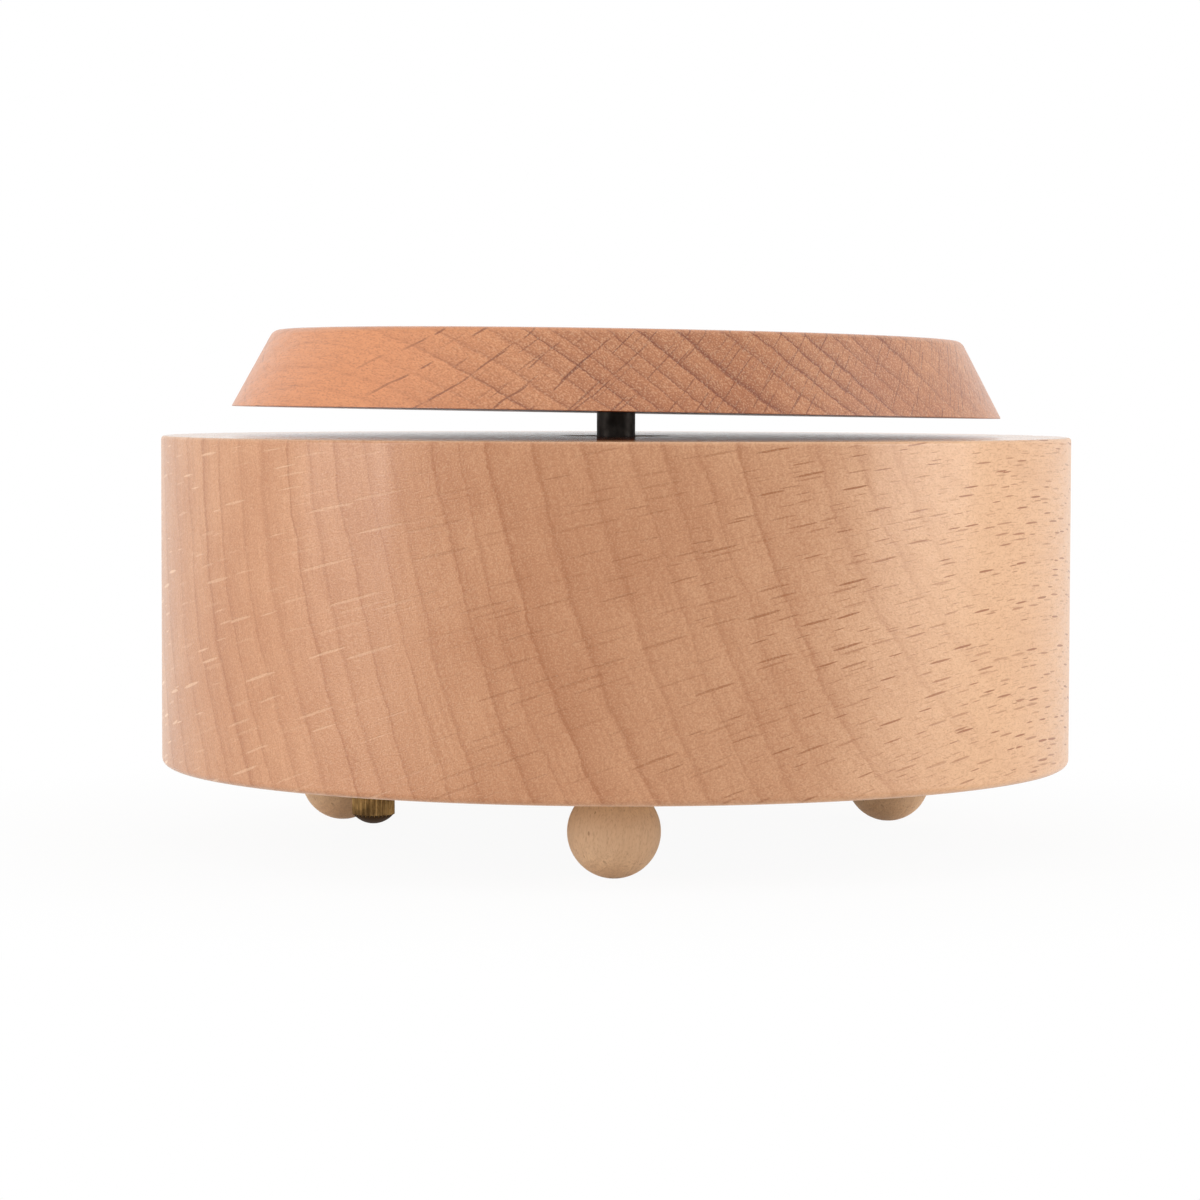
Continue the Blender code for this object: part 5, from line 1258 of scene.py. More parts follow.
@dataclass
class BallFeet:
    """Three turned balls, each with a flat seat under the drum and a tiny flat to stand on."""

    radius: float = 5.75 * MM
    flat: float = 1.0 * MM
    seat: float = 10.0641 * MM
    seat_edge: float = 0.12 * MM
    bore: float = 1.8 * MM
    bore_depth: float = 5.0 * MM
    sides: int = 72

    def build(self) -> None:
        """Turns one ball for each dowel."""
        centre = math.sqrt(self.radius**2 - self.flat**2)
        for place in FEET:
            node = f"ball_foot_{place}"
            at = stand(node)
            foot = Workpiece.ball(f"turned_foot_{place}", self.radius, (*at, centre), self.sides)
            foot.saw((0, 0, self.seat), (0, 0, 1), use_fill=True, clear_outer=True)
            foot.saw((0, 0, 0), (0, 0, 1), use_fill=True, clear_inner=True)
            foot.soften(self.seat_edge, on_level(self.seat))
            foot.bore(self.bore, self.seat - self.bore_depth, self.seat + MM, at)
            wood = bare_beech(f"bare_beech_foot_{place}", (at[0] / MM, at[1] / MM))
            foot.finish(wood, "case", node, smooth=40)


# What turns on top


@dataclass
class Turntable:
    """The tapered disc, leaning a little on its shaft, and the flange that holds it."""

    low_radius: float = 50.8 * MM
    high_radius: float = 45.4 * MM
    thickness: float = 10.1 * MM
    bottom: float = 56.5641 * MM
    top_round: float = 0.8 * MM
    rim_edge: float = 0.12 * MM
    recess: float = 12.6 * MM
    recess_depth: float = 1.5 * MM
    socket: float = 2.951 * MM
    socket_depth: float = 6.0 * MM
    flange_radius: float = 12.3 * MM
    flange_thickness: float = 1.2 * MM
    flange_bore: float = 2.87 * MM
    flange_round: float = 0.15 * MM
    bore_edge: float = 0.1 * MM
    screw_circle: float = 8.0 * MM
    screw_head: float = 2.6 * MM
    sink_turned: float = 0.031
    screw_bore: float = 0.9 * MM
    screw_start: float = 0.5 * MM
    screw_end: float = 5.3 * MM
    lean: float = math.radians(0.96)
    lean_towards: float = math.radians(32)
    shaft_radius: float = 2.55 * MM
    shaft_low: float = 48.7641 * MM
    shaft_high: float = 62.2641 * MM
    shaft_bore: float = 1.9 * MM
    shaft_bore_depth: float = 11.0 * MM
    shaft_top_edge: float = 0.3 * MM
    shaft_bottom_edge: float = 0.2 * MM
    sides: int = 192
    metal_sides: int = 96
    bore_sides: int = 48
    screw_sides: int = 20

    def leaning(self) -> Matrix:
        """How the disc lies on its shaft.

        Returns:
            The move from an upright disc on the origin.
        """
        towards = Matrix.Rotation(self.lean_towards, 4, "Z")
        lean = towards @ Matrix.Rotation(self.lean, 4, "Y") @ towards.inverted()
        return Matrix.Translation((0, 0, self.bottom)) @ lean

    def screw_places(self) -> list[Pair]:
        """Where the flange's screws stand before the disc leans."""
        return [polar(self.screw_circle, degrees) for degrees in (-90, 30, 150)]

    def build(self) -> None:
        """Turns the disc, its flange and its shaft."""
        self.build_disc()
        self.build_flange()
        self.build_shaft()

    def build_disc(self) -> None:
        """Turns the disc upright and leans it."""
        disc = Workpiece.cone("turned_disc", self.low_radius, self.high_radius, 0, self.thickness, self.sides)
        recess = ((self.recess, 0), (self.recess, self.recess_depth))
        socket = ((self.socket, self.recess_depth), (self.socket, self.socket_depth))
        disc.turn((self.low_radius, 0), (*recess, *socket), up=False)
        disc.soften_ring(self.high_radius, self.thickness, self.top_round, 5)
        disc.soften_ring(self.low_radius, 0, self.rim_edge)
        disc.soften_ring(self.recess, 0, self.rim_edge)
        for place in self.screw_places():
            disc.bore(self.screw_bore, self.screw_start, self.screw_end, place, self.screw_sides)
        disc.place(self.leaning())
        disc.finish(DISC_BEECH, "turntable", "turntable_disc")

    def build_flange(self) -> None:
        """Turns the dark flange let into the underside of the disc."""
        flange = Workpiece.cylinder(
            "turned_flange", self.flange_radius, 0, self.flange_thickness, self.metal_sides
        )
        past = self.flange_thickness + MM
        flange.soften_ring(self.flange_radius, 0, self.flange_round, 3)
        flange.bore(self.flange_bore, -MM, past, sides=self.bore_sides)
        flange.soften_ring(self.flange_bore, 0, self.bore_edge)
        for place in self.screw_places():
            flange.countersink(self.screw_head, self.screw_bore, -MM, past, place, turned=self.sink_turned)
        flange.place(self.leaning())
        flange.finish(BLACKENED, "turntable", "disc_flange")

    def build_shaft(self) -> None:
        """Turns the dark sleeve between the drum and the disc."""
        shaft = Workpiece.cylinder(
            "turned_shaft", self.shaft_radius, self.shaft_low, self.shaft_high, self.metal_sides
        )
        bottom = self.shaft_low + self.shaft_bore_depth
        bore = ((self.shaft_bore, self.shaft_low), (self.shaft_bore, bottom))
        shaft.turn((self.shaft_radius, self.shaft_low), bore, up=False)
        shaft.soften_ring(self.shaft_radius, self.shaft_high, self.shaft_top_edge)
        shaft.soften_ring(self.shaft_radius, self.shaft_low, self.shaft_bottom_edge)
        shaft.finish(BLACKENED, "turntable", "turntable_shaft")


# What stops it


@dataclass
class StopKnob:
    """The knurled knob under the drum."""

    radius: float = 2.8 * MM
    tip: float = 2.6 * MM
    tip_flat: float = 0.05 * MM
    dome: float = 1.2 * MM
    dome_steps: int = 10
    high: float = 8.0641 * MM
    chamfer: float = 0.25 * MM
    lower_chamfer: float = 0.075 * MM
    dome_inset: float = 0.19 * MM
    side_band: float = 0.3 * MM
    rod_hole: float = 1.3 * MM
    rod_depth: float = 4.1 * MM
    ridges: int = 26
    knurl: float = 0.2 * MM
    grooves: tuple[Pair, ...] = ((0.45, 0.40), (0.55, 0.20))
    steps_per_ridge: int = 6

    def build(self) -> None:
        """Turns the knob, rounds its tip, knurls it and bores it for its rod."""
        at = stand("stop_knob")
        shoulder = self.tip + self.dome
        sides = self.ridges * self.steps_per_ridge
        knob = Workpiece.cylinder("knurled_knob", self.radius, shoulder, self.high, sides, at)
        face = (self.radius - self.chamfer - self.knurl, self.high)
        hole = ((self.rod_hole, self.high), (self.rod_hole, self.high - self.rod_depth))
        knob.turn((self.radius, self.high), (face, *hole), at=at)
        knob.pick_edges(on_ring(self.radius, self.high, at))
        bpy.ops.transform.translate(value=(0, 0, -self.chamfer))
        knob.turn((self.radius, shoulder), (*self._dome(), (self.tip_flat, self.tip)), up=False, at=at)
        knob.pick_edges(on_ring(self.radius, shoulder, at))
        bpy.ops.transform.translate(value=(0, 0, self.lower_chamfer))
        for share, half in self.grooves:
            self._groove(knob, at, self.knurl * share, half)
        knob.finish(AGED_BRASS, "stop", "stop_knob", smooth=50)

    def _dome(self) -> list[Pair]:
        """The radius and height of each ring of the domed tip, from its rim inward.

        Returns:
            The rings.
        """
        rim = self.radius - self.dome_inset
        curve = (rim**2 + self.dome**2) / (2 * self.dome)
        widest = math.asin(rim / curve)
        angles = [widest * (1 - step / self.dome_steps) for step in range(self.dome_steps)]
        centre = self.tip + curve
        return [(curve * math.sin(angle), centre - curve * math.cos(angle)) for angle in angles]

    def _groove(self, knob: Workpiece, at: Pair, depth: float, half: float) -> None:
        """Presses the grooves between the ridges into the knob's side.

        Args:
            knob: The turned knob.
            at: Where its axis stands.
            depth: How far the side is pressed in.
            half: Half of a groove's width, as a share of a ridge's.
        """
        low, high = self.tip + self.dome, self.high

        def inside(point: Vector) -> bool:
            """Whether the point lies on the side, in a groove."""
            out = Vector((point.x - at[0], point.y - at[1]))
            far_out = out.length > self.radius - self.side_band - NEAR
            return far_out and low - NEAR < point.z < high + NEAR and abs(off_tooth(out, self.ridges)) < half

        knob.pick_points(inside)
        shrink = (self.radius - depth) / self.radius
        bpy.ops.transform.resize(value=(shrink, shrink, 1), center_override=(*at, (low + high) / 2))


# The musical movement. An axis that lies along X is given by its Y and Z.


CYLINDER_AXIS = mm(0.0, 34.6638)
FIRST_AXIS = mm(-8.598, 32.7891)
WORM_WHEEL_AXIS = mm(-15.3988, 34.447)
WORM_PLACE = mm(-26.8096, -10.6988)
PILLAR_PLACES = (mm(15.5, 0.0), mm(4.0117, 14.9719), mm(4.0117, -14.9719))
COMB_SCREW_PLACES = (mm(-17.65, 20.625), mm(-25.9596, 20.625))


def turned_bar(name: str, lengths: tuple[Pair, ...], edge: float, sides: int) -> Workpiece:
    """Turns a bar that stands on the origin.

    Args:
        name: The name of the piece.
        lengths: The radius of each length and where it ends, in millimetres.
        edge: Width of the round at each outer corner.
        sides: Number of sides.

    Returns:
        The piece.
    """
    radii, ends = zip(*(mm(*length) for length in lengths))
    starts = (0.0, *ends)
    bar = Workpiece.cylinder(name, radii[0], 0, ends[0], sides)
    for before, radius, start, end in zip(radii, radii[1:], ends, ends[1:]):
        bar.turn((before, start), ((radius, start), (radius, end)))
    for index, radius in enumerate(radii):
        if index == 0 or radius > radii[index - 1]:
            bar.soften_ring(radius, starts[index], edge)
        if index == len(radii) - 1 or radius > radii[index + 1]:
            bar.soften_ring(radius, ends[index], edge)
    return bar


@dataclass(frozen=True)
class Turned:
    """A round piece turned from bar, with the radius and the end of each length of it in millimetres."""

    node: str
    look: Metal
    body: str
    lengths: tuple[Pair, ...]
    bore: float = 0.0
    edge: float = 0.1 * MM
    lying: bool = False
    sides: int = 64

    def build(self) -> None:
        """Turns the piece, bores it and puts it in place."""
        piece = turned_bar(f"turned_{self.node}", self.lengths, self.edge, self.sides)
        if self.bore:
            piece.bore(self.bore, -MM, self.lengths[-1][1] * MM + MM, sides=self.sides)
        low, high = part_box(self.node)
        middle = (low + high) / 2
        if self.lying:
            piece.place(Matrix.Translation((low.x, middle.y, middle.z)) @ LYING)
        else:
            piece.place(Matrix.Translation((middle.x, middle.y, low.z)))
        piece.finish(self.look, self.body, self.node)


@dataclass(frozen=True)
class SlottedScrew:
    """A slotted screw, made with the outer face of its head at height 0 and its point up."""

    head: float
    head_height: float
    shank: float
    length: float
    countersunk: bool
    point_down: bool = False
    slot_half: float = 0.17
    slot_depth: float = 0.45
    point: float = 0.05 * MM
    sunk_edge: float = 0.07 * MM
    head_round: float = 0.3 * MM
    under_edge: float = 0.08 * MM
    sides: int = 48

    def build(self, node: str) -> None:
        """Makes one screw where its node is.

        Args:
            node: The node that it stands for.
        """
        name, head, tall, shank = f"slotted_{node}", self.head, self.head_height, self.shank
        thread = ((shank, self.length - shank), (self.point, self.length))
        if self.countersunk:
            screw = Workpiece.cone(name, head, shank, 0, tall, self.sides)
            screw.turn((shank, tall), thread)
            screw.soften_ring(head, 0, self.sunk_edge)
        else:
            screw = Workpiece.cylinder(name, head, 0, tall, self.sides)
            screw.turn((head, tall), ((shank, tall), *thread))
            screw.soften_ring(head, 0, self.head_round, 4)
            screw.soften_ring(head, tall, self.under_edge)
        across, reach, deep = self.slot_half * head, head + MM, self.slot_depth * tall
        screw.cut(Workpiece.block("slot", (-reach, -across, -MM), (reach, across, deep)))
        low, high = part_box(node)
        if self.point_down:
            screw.place(Matrix.Translation((*stand(node), high.z)) @ Matrix.Rotation(math.pi, 4, "X"))
        else:
            screw.place(Matrix.Translation((*stand(node), low.z)))
        screw.finish(BRIGHT, "case", node)


@dataclass
class Screws:
    """The screws of the cover, the movement, the comb and the brackets."""

    cover: SlottedScrew = SlottedScrew(*mm(2.5, 1.6, 1.2, 10.0), countersunk=True)
    movement: SlottedScrew = SlottedScrew(*mm(2.3, 1.6, 1.1, 8.4), countersunk=False)
    comb: SlottedScrew = SlottedScrew(*mm(1.8, 1.4, 1.0, 14.6), countersunk=False)
    bedplate: SlottedScrew = SlottedScrew(*mm(1.5, 0.9, 0.7, 4.3), countersunk=True, point_down=True)

    def build(self) -> None:
        """Makes every screw."""
        for screw, nodes in (
            (self.cover, COVER_SCREWS),
            (self.movement, MOVEMENT_SCREWS),
            (self.comb, COMB_SCREWS),
            (self.bedplate, BEDPLATE_SCREWS),
        ):
            for node in nodes:
                screw.build(node)


@dataclass
class Bedplate:
    """The clipped plate that carries the movement."""

    low: Triple = mm(-35.2596, -19.5, 44.1638)
    high: Triple = mm(18.0, 24.0, 47.1638)
    clip: float = 5.5 * MM
    edge: float = 0.25 * MM
    bush_hole: float = 3.5 * MM
    pillar_hole: float = 1.2 * MM
    comb_screw_hole: float = 1.3 * MM
    movement_screw_hole: float = 1.4 * MM
    bracket_screw_hole: float = 1.0 * MM
    sink_radius: float = 2.8 * MM
    hole_sides: int = 40

    def build(self) -> None:
        """Cuts the plate and bores it for all that it carries."""
        under, top = self.low[2], self.high[2]
        plate = Workpiece.block("clipped_bedplate", self.low, self.high)
        plate.soften(self.clip, lambda a, b: abs(a.z - b.z) > MM, 1)
        plate.soften(self.edge, on_level(under))
        plate.soften(self.edge, on_level(top))
        holes = [(CENTRE, self.bush_hole)]
        holes += [(at, self.pillar_hole) for at in PILLAR_PLACES]
        holes += [(at, self.comb_screw_hole) for at in COMB_SCREW_PLACES]
        holes += [(stand(node), self.movement_screw_hole) for node in MOVEMENT_SCREWS]
        for at, radius in holes:
            plate.bore(radius, under - MM, top + MM, at, self.hole_sides)
        hole, sides = self.bracket_screw_hole, self.hole_sides
        for node in BEDPLATE_SCREWS:
            plate.bore(hole, under - MM, top + MM, stand(node), sides)
            sink = Workpiece.cone("countersink", hole, self.sink_radius, top - MM, top + MM, sides)
            sink.place(Matrix.Translation((*stand(node), 0)))
            plate.cut(sink)
        plate.finish(NICKEL, "case", "bedplate")


@dataclass
class Barrel:
    """The drawn spring barrel and its lid, each with three ears for the pillars."""

    radius: float = 12.5 * MM
    rim: float = 12.9 * MM
    inside: float = 11.7 * MM
    bottom: float = 17.7838 * MM
    floor: float = 18.5838 * MM
    ear_bottom: float = 27.5838 * MM
    top: float = 28.3838 * MM
    pivot_hole: float = 1.5 * MM
    lid_bottom: float = 28.6838 * MM
    lid_top: float = 29.2838 * MM
    arbor_hole: float = 1.9 * MM
    bottom_round: float = 0.9 * MM
    floor_round: float = 0.4 * MM
    mouth_edge: float = 0.12 * MM
    ear_angles: Triple = (0.0, 75.0, -75.0)
    ear_start: float = 12.25 * MM
    ear_end: float = 17.7 * MM
    ear_half: float = 2.2 * MM
    ear_round: float = 2.1 * MM
    pillar_hole: float = 1.2 * MM
    sides: int = 144
    hole_sides: int = 48

    def build(self) -> None:
        """Makes the barrel and its lid."""
        self.build_cup()
        self.build_lid()

    def build_cup(self) -> None:
        """Draws the cup, and leaves three ears on its rim."""
        low, high = self.ear_bottom, self.top
        cup = Workpiece.cylinder("drawn_barrel", self.radius, self.bottom, low, self.sides)
        inner = ((self.inside, high), (self.inside, self.floor))
        cup.turn((self.radius, low), ((self.rim, low), (self.rim, high), *inner))
        self._ears(cup, low, high)
        cup.soften_ring(self.radius, self.bottom, self.bottom_round, 5)
        cup.soften_ring(self.inside, self.floor, self.floor_round, 3)
        cup.soften_ring(self.inside, high, self.mouth_edge)
        cup.bore(self.pivot_hole, self.bottom - MM, self.floor + MM, sides=self.hole_sides)
        cup.finish(BRASS, "case", "spring_barrel")

    def build_lid(self) -> None:
        """Cuts the flat lid."""
        low, high = self.lid_bottom, self.lid_top
        lid = Workpiece.cylinder("barrel_cover", self.rim, low, high, self.sides)
        self._ears(lid, low, high)
        lid.bore(self.arbor_hole, low - MM, high + MM, sides=self.hole_sides)
        lid.finish(BRASS, "case", "barrel_lid")

    def _ears(self, piece: Workpiece, low: float, high: float) -> None:
        """Adds three round-ended ears to a rim, and drills them.

        Args:
            piece: The cup or the lid.
            low: Lower face of its rim.
            high: Upper face of its rim.
        """
        near, half = self.ear_start, self.ear_half
        for angle in self.ear_angles:
            ear = Workpiece.block("ear", (near, -half, low), (self.ear_end, half, high))
            ear.soften(self.ear_round, lambda a, b: abs(a.z - b.z) > 10 * NEAR and a.x > near + 10 * NEAR, 6)
            ear.place(Matrix.Rotation(math.radians(angle), 4, "Z"))
            piece.fuse(ear)
        for at in PILLAR_PLACES:
            piece.bore(self.pillar_hole, low - MM, high + MM, at)


@dataclass
class CrownWheel:
    """The face-toothed wheel on the winding arbor, with the posts of its click and click spring.

    A tooth's top is shaped by its points: how far each lies from the middle, and how far outward it is
    moved, both in pitches.
    """

    teeth: int = 40
    steps: int = 10
    half_tooth: float = 0.2
    top_points: tuple[Pair, ...] = ((0.2, 0.11), (0.1, 0.055))
    match: float = 0.02
    rim: float = 12.85 * MM
    outer: float = 12.55 * MM
    inner: float = 10.65 * MM
    bore: float = 1.9 * MM
    bottom: float = 29.7838 * MM
    root: float = 30.9838 * MM
    tip: float = 32.3438 * MM
    post_circle: float = 8.2 * MM
    post_angles: Pair = (0.0, 70.0)
    post_radius: float = 0.6 * MM
    post_top: float = 32.3838 * MM
    post_sunk: float = 0.3 * MM
    post_edge: float = 0.12 * MM
    post_sides: int = 32
    bottom_edge: float = 0.2 * MM
    rim_edge: float = 0.12 * MM
    bore_sides: int = 48

    def build(self) -> None:
        """Turns the wheel, draws its teeth up and sets its posts."""
        rim, bottom, root, tip = self.rim, self.bottom, self.root, self.tip
        wheel = Workpiece.cylinder("cut_crown_wheel", rim, bottom, root, self.teeth * self.steps)
        wheel.turn((rim, root), ((self.outer, root), (self.inner, root)))
        wheel.pick_faces(
            lambda middle, normal: abs(middle.z - root) < NEAR
            and self.inner < middle.xy.length < self.outer
            and abs(self._off(middle)) < self.half_tooth
        )
        bpy.ops.mesh.extrude_region_move()
        bpy.ops.transform.translate(value=(0, 0, tip - root))
        for off, moved in self.top_points:
            for side in (-1, 1):
                wheel.pick_points(
                    lambda point: abs(point.z - tip) < NEAR
                    and abs(self._off(point) - side * off) < self.match
                )
                turn = side * moved * 2 * math.pi / self.teeth
                bpy.ops.transform.rotate(value=turn, orient_axis="Z", center_override=(0, 0, 0))
        wheel.soften_ring(rim, bottom, self.bottom_edge)
        wheel.soften_ring(rim, root, self.rim_edge)
        wheel.bore(self.bore, bottom - MM, root + MM, sides=self.bore_sides)
        for angle in self.post_angles:
            at = polar(self.post_circle, angle)
            low, high = root - self.post_sunk, self.post_top
            post = Workpiece.cylinder("post", self.post_radius, low, high, self.post_sides, at)
            post.soften_ring(self.post_radius, high, self.post_edge, at=at)
            wheel.fuse(post)
        wheel.finish(BRASS, "turntable", "crown_wheel")

    def _off(self, point: Vector) -> float:
        """How far round from the middle of the nearest tooth a point is, in pitches."""
        return off_tooth(point, self.teeth, 0.5)


# The form of a gear tooth: from where to where, in pitches round from the middle of the tooth, and what
# share of the full depth is cut away there.
TOOTH_FORM = ((0.05, 0.15, 0.06), (0.15, 0.25, 0.82), (0.25, 0.51, 1.0))


def between(start: Pair, end: Pair) -> Pair:
    """The way from one axis to another."""
    return end[0] - start[0], end[1] - start[1]


@dataclass(frozen=True)
class Gear:
    """A spur gear or pinion whose axis lies along X, with the arbor that it may be cut from."""

    node: str
    look: Metal
    body: str
    teeth: int
    module: float
    axis: Pair
    towards: Pair
    start: float
    width: float
    bore: float = 0.0
    gap_first: bool = False
    arbor: tuple[Pair, ...] = ()
    steps: int = 10
    clearance: float = 0.2 * MM
    bore_edge: float = 0.08 * MM
    bore_sides: int = 40
    arbor_edge: float = 0.05 * MM
    arbor_sides: int = 32

    def build(self) -> None:
        """Cuts the teeth and puts the gear on its axis."""
        tip = (self.teeth / 2 + 1) * self.module
        root = (self.teeth / 2 - 1) * self.module - self.clearance
        end = self.start + self.width
        gear = Workpiece.cylinder(f"cut_{self.node}", tip, self.start, end, self.teeth * self.steps)
        for low, high, depth in TOOTH_FORM:
            gear.pick_points(lambda point: low < abs(off_tooth(point, self.teeth)) < high)
            shrink = (tip - depth * (tip - root)) / tip
            bpy.ops.transform.resize(value=(shrink, shrink, 1), center_override=(0, 0, 0))
        if self.bore:
            gear.bore(self.bore, -MM, end + MM, sides=self.bore_sides)
            gear.soften_ring(self.bore, self.start, self.bore_edge)
            gear.soften_ring(self.bore, end, self.bore_edge)
        if self.arbor:
            gear.fuse(turned_bar("arbor", self.arbor, self.arbor_edge, self.arbor_sides))
        phase = math.atan2(self.towards[0], -self.towards[1])
        if self.gap_first:
            phase += math.pi / self.teeth
        place = Matrix.Translation((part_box(self.node)[0].x, *self.axis))
        gear.place(place @ LYING @ Matrix.Rotation(phase, 4, "Z"))
        gear.finish(self.look, self.body, self.node, smooth=25)


@dataclass
class PinnedCylinder:
    """The brass cylinder with its fine pins."""

    radius: float = 6.3 * MM
    bore: float = 1.3 * MM
    length: float = 16.5096 * MM
    edge: float = 0.15 * MM
    sides: int = 96
    bore_sides: int = 40
    notes: int = 18
    first_note: float = 0.6 * MM
    last_note: float = 15.9096 * MM
    pins_per_note: int = 2
    rounds: int = 6
    pin_turn: float = math.pi * (3 - math.sqrt(5))
    pin_foot: float = 0.18 * MM
    pin_tip: float = 0.12 * MM
    pin_sunk: float = 0.4 * MM
    pin_height: float = 0.7 * MM
    pin_edge: float = 0.04 * MM
    pin_sides: int = 8

    def build(self) -> None:
        """Turns the cylinder and sets its pins."""
        drum = Workpiece.cylinder("pinned_cylinder", self.radius, 0, self.length, self.sides)
        drum.soften_ring(self.radius, 0, self.edge)
        drum.soften_ring(self.radius, self.length, self.edge)
        drum.bore(self.bore, -MM, self.length + MM, sides=self.bore_sides)
        drum.attach(self._pins())
        drum.place(Matrix.Translation((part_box("pin_cylinder")[0].x, *CYLINDER_AXIS)) @ LYING)
        drum.finish(BRASS, "cylinder", "pin_cylinder")

    def _pins(self) -> list[Workpiece]:
        """Sharpens one pin, and copies it round the cylinder.

        Returns:
            The copies.
        """
        tall = self.pin_sunk + self.pin_height
        model = Workpiece.cone("pin", self.pin_foot, self.pin_tip, 0, tall, self.pin_sides)
        model.soften_ring(self.pin_tip, tall, self.pin_edge, 1)
        model.place(Matrix.Translation((self.radius - self.pin_sunk, 0, 0)) @ LYING)
        spacing = (self.last_note - self.first_note) / (self.notes - 1)
        count = self.notes * self.pins_per_note
        pins = []
        for index in range(count * self.rounds):
            height = self.last_note - index % count // self.pins_per_note * spacing
            turn = Matrix.Rotation(index * self.pin_turn, 4, "Z")
            pins.append(model.copy("pin", Matrix.Translation((0, 0, height)) @ turn))
        bpy.data.meshes.remove(model.object.data)
        return pins


# A comb tooth in lengths from its root to its tip: where each starts and ends, as a share of the whole, and
# how thick the tooth is at its end, as a share of its thickness at its start.
TOOTH_LENGTHS = ((0.15, 0.40, 0.62), (0.40, 0.86, 1.0), (0.86, 1.0, 1.45))


@dataclass
class Comb:
    """The steel comb with its tuned teeth, and the block that it is screwed to."""

    near: float = -13.35 * MM
    far: float = -30.2596 * MM
    front: float = 18.25 * MM
    back: float = 23.3 * MM
    bottom: float = 33.7638 * MM
    top: float = 35.5638 * MM
    middle: float = 34.6638 * MM
    tooth_tip: float = 7.25 * MM
    short: float = 8.5 * MM
    long: float = 11.0 * MM
    tooth_half: float = 0.275 * MM
    tooth_thick: float = 0.35 * MM
    tip_narrowed: float = 0.7
    first_note: float = -14.15 * MM
    spacing: float = 0.90056 * MM
    notes: int = 18
    tooth_sunk: float = 0.4 * MM
    edge: float = 0.12 * MM
    web_inset: float = 0.3 * MM
    web_sunk: float = 0.5 * MM
    web_short: float = 0.05 * MM
    screw_hole: float = 1.3 * MM
    hole_sides: int = 40
    base_edge: float = 0.25 * MM
    base_inset: float = 0.3 * MM
    base_top: float = 43.8638 * MM

    def build(self) -> None:
        """Makes the comb and its base."""
        self.build_comb()
        self.build_base()

    def build_comb(self) -> None:
        """Grinds the comb's body and cuts its teeth."""
        near, far, front, back, middle = self.near, self.far, self.front, self.back, self.middle
        comb = Workpiece.block("tuned_comb", (far, front, self.bottom), (near, back, self.top))
        comb.soften(self.edge, lambda a, b: max(a.y, b.y) < front + NEAR or min(a.y, b.y) > back - NEAR)
        web = Workpiece.block(
            "web",
            (far + self.web_inset, self.tooth_tip + self.short, middle - self.tooth_thick),
            (near - self.web_inset, front + self.web_sunk, middle + self.tooth_thick),
        )
        web.pick_points(lambda point: point.x < (near + far) / 2 and point.y < front)
        bpy.ops.transform.translate(value=(0, self.long - self.short - self.web_short, 0))
        comb.fuse(web)
        comb.attach([self._tooth(note) for note in range(self.notes)])
        for at in COMB_SCREW_PLACES:
            comb.bore(self.screw_hole, self.bottom - MM, self.top + MM, at, self.hole_sides)
        comb.finish(SPRING, "case", "comb")

    def _tooth(self, note: int) -> Workpiece:
        """Grinds one tooth, thinned behind its tip so that it sounds its note.

        Args:
            note: The number of the note.

        Returns:
            The tooth.
        """
        x = self.first_note - note * self.spacing
        length = self.short + (self.long - self.short) * note / (self.notes - 1)
        tip, half, thick, middle = self.tooth_tip, self.tooth_half, self.tooth_thick, self.middle
        start = tip + length
        tooth = Workpiece.block(
            "tooth",
            (x - half, start - TOOTH_LENGTHS[0][0] * length, middle - thick),
            (x + half, start + self.tooth_sunk, middle + thick),
        )
        tooth.pick_faces(lambda at, normal: normal.y < -0.9)
        for done, share, slim in TOOTH_LENGTHS:
            bpy.ops.mesh.extrude_region_move()
            bpy.ops.transform.translate(value=(0, (done - share) * length, 0))
            bpy.ops.transform.resize(value=(1, 1, slim), center_override=(x, tip, middle))
        bpy.ops.transform.resize(value=(self.tip_narrowed, 1, 1), center_override=(x, tip, middle))
        return tooth

    def build_base(self) -> None:
        """Mills the block between the comb and the bedplate."""
        inset = self.base_inset
        base = Workpiece.block(
            "milled_comb_base",
            (self.far + inset, self.front, self.top + inset),
            (self.near - inset, self.back - inset, self.base_top),
        )
        base.soften(self.base_edge, lambda a, b: True)
        for at in COMB_SCREW_PLACES:
            base.bore(self.screw_hole, self.top, self.base_top + MM, at, self.hole_sides)
        base.finish(NICKEL, "case", "comb_base")


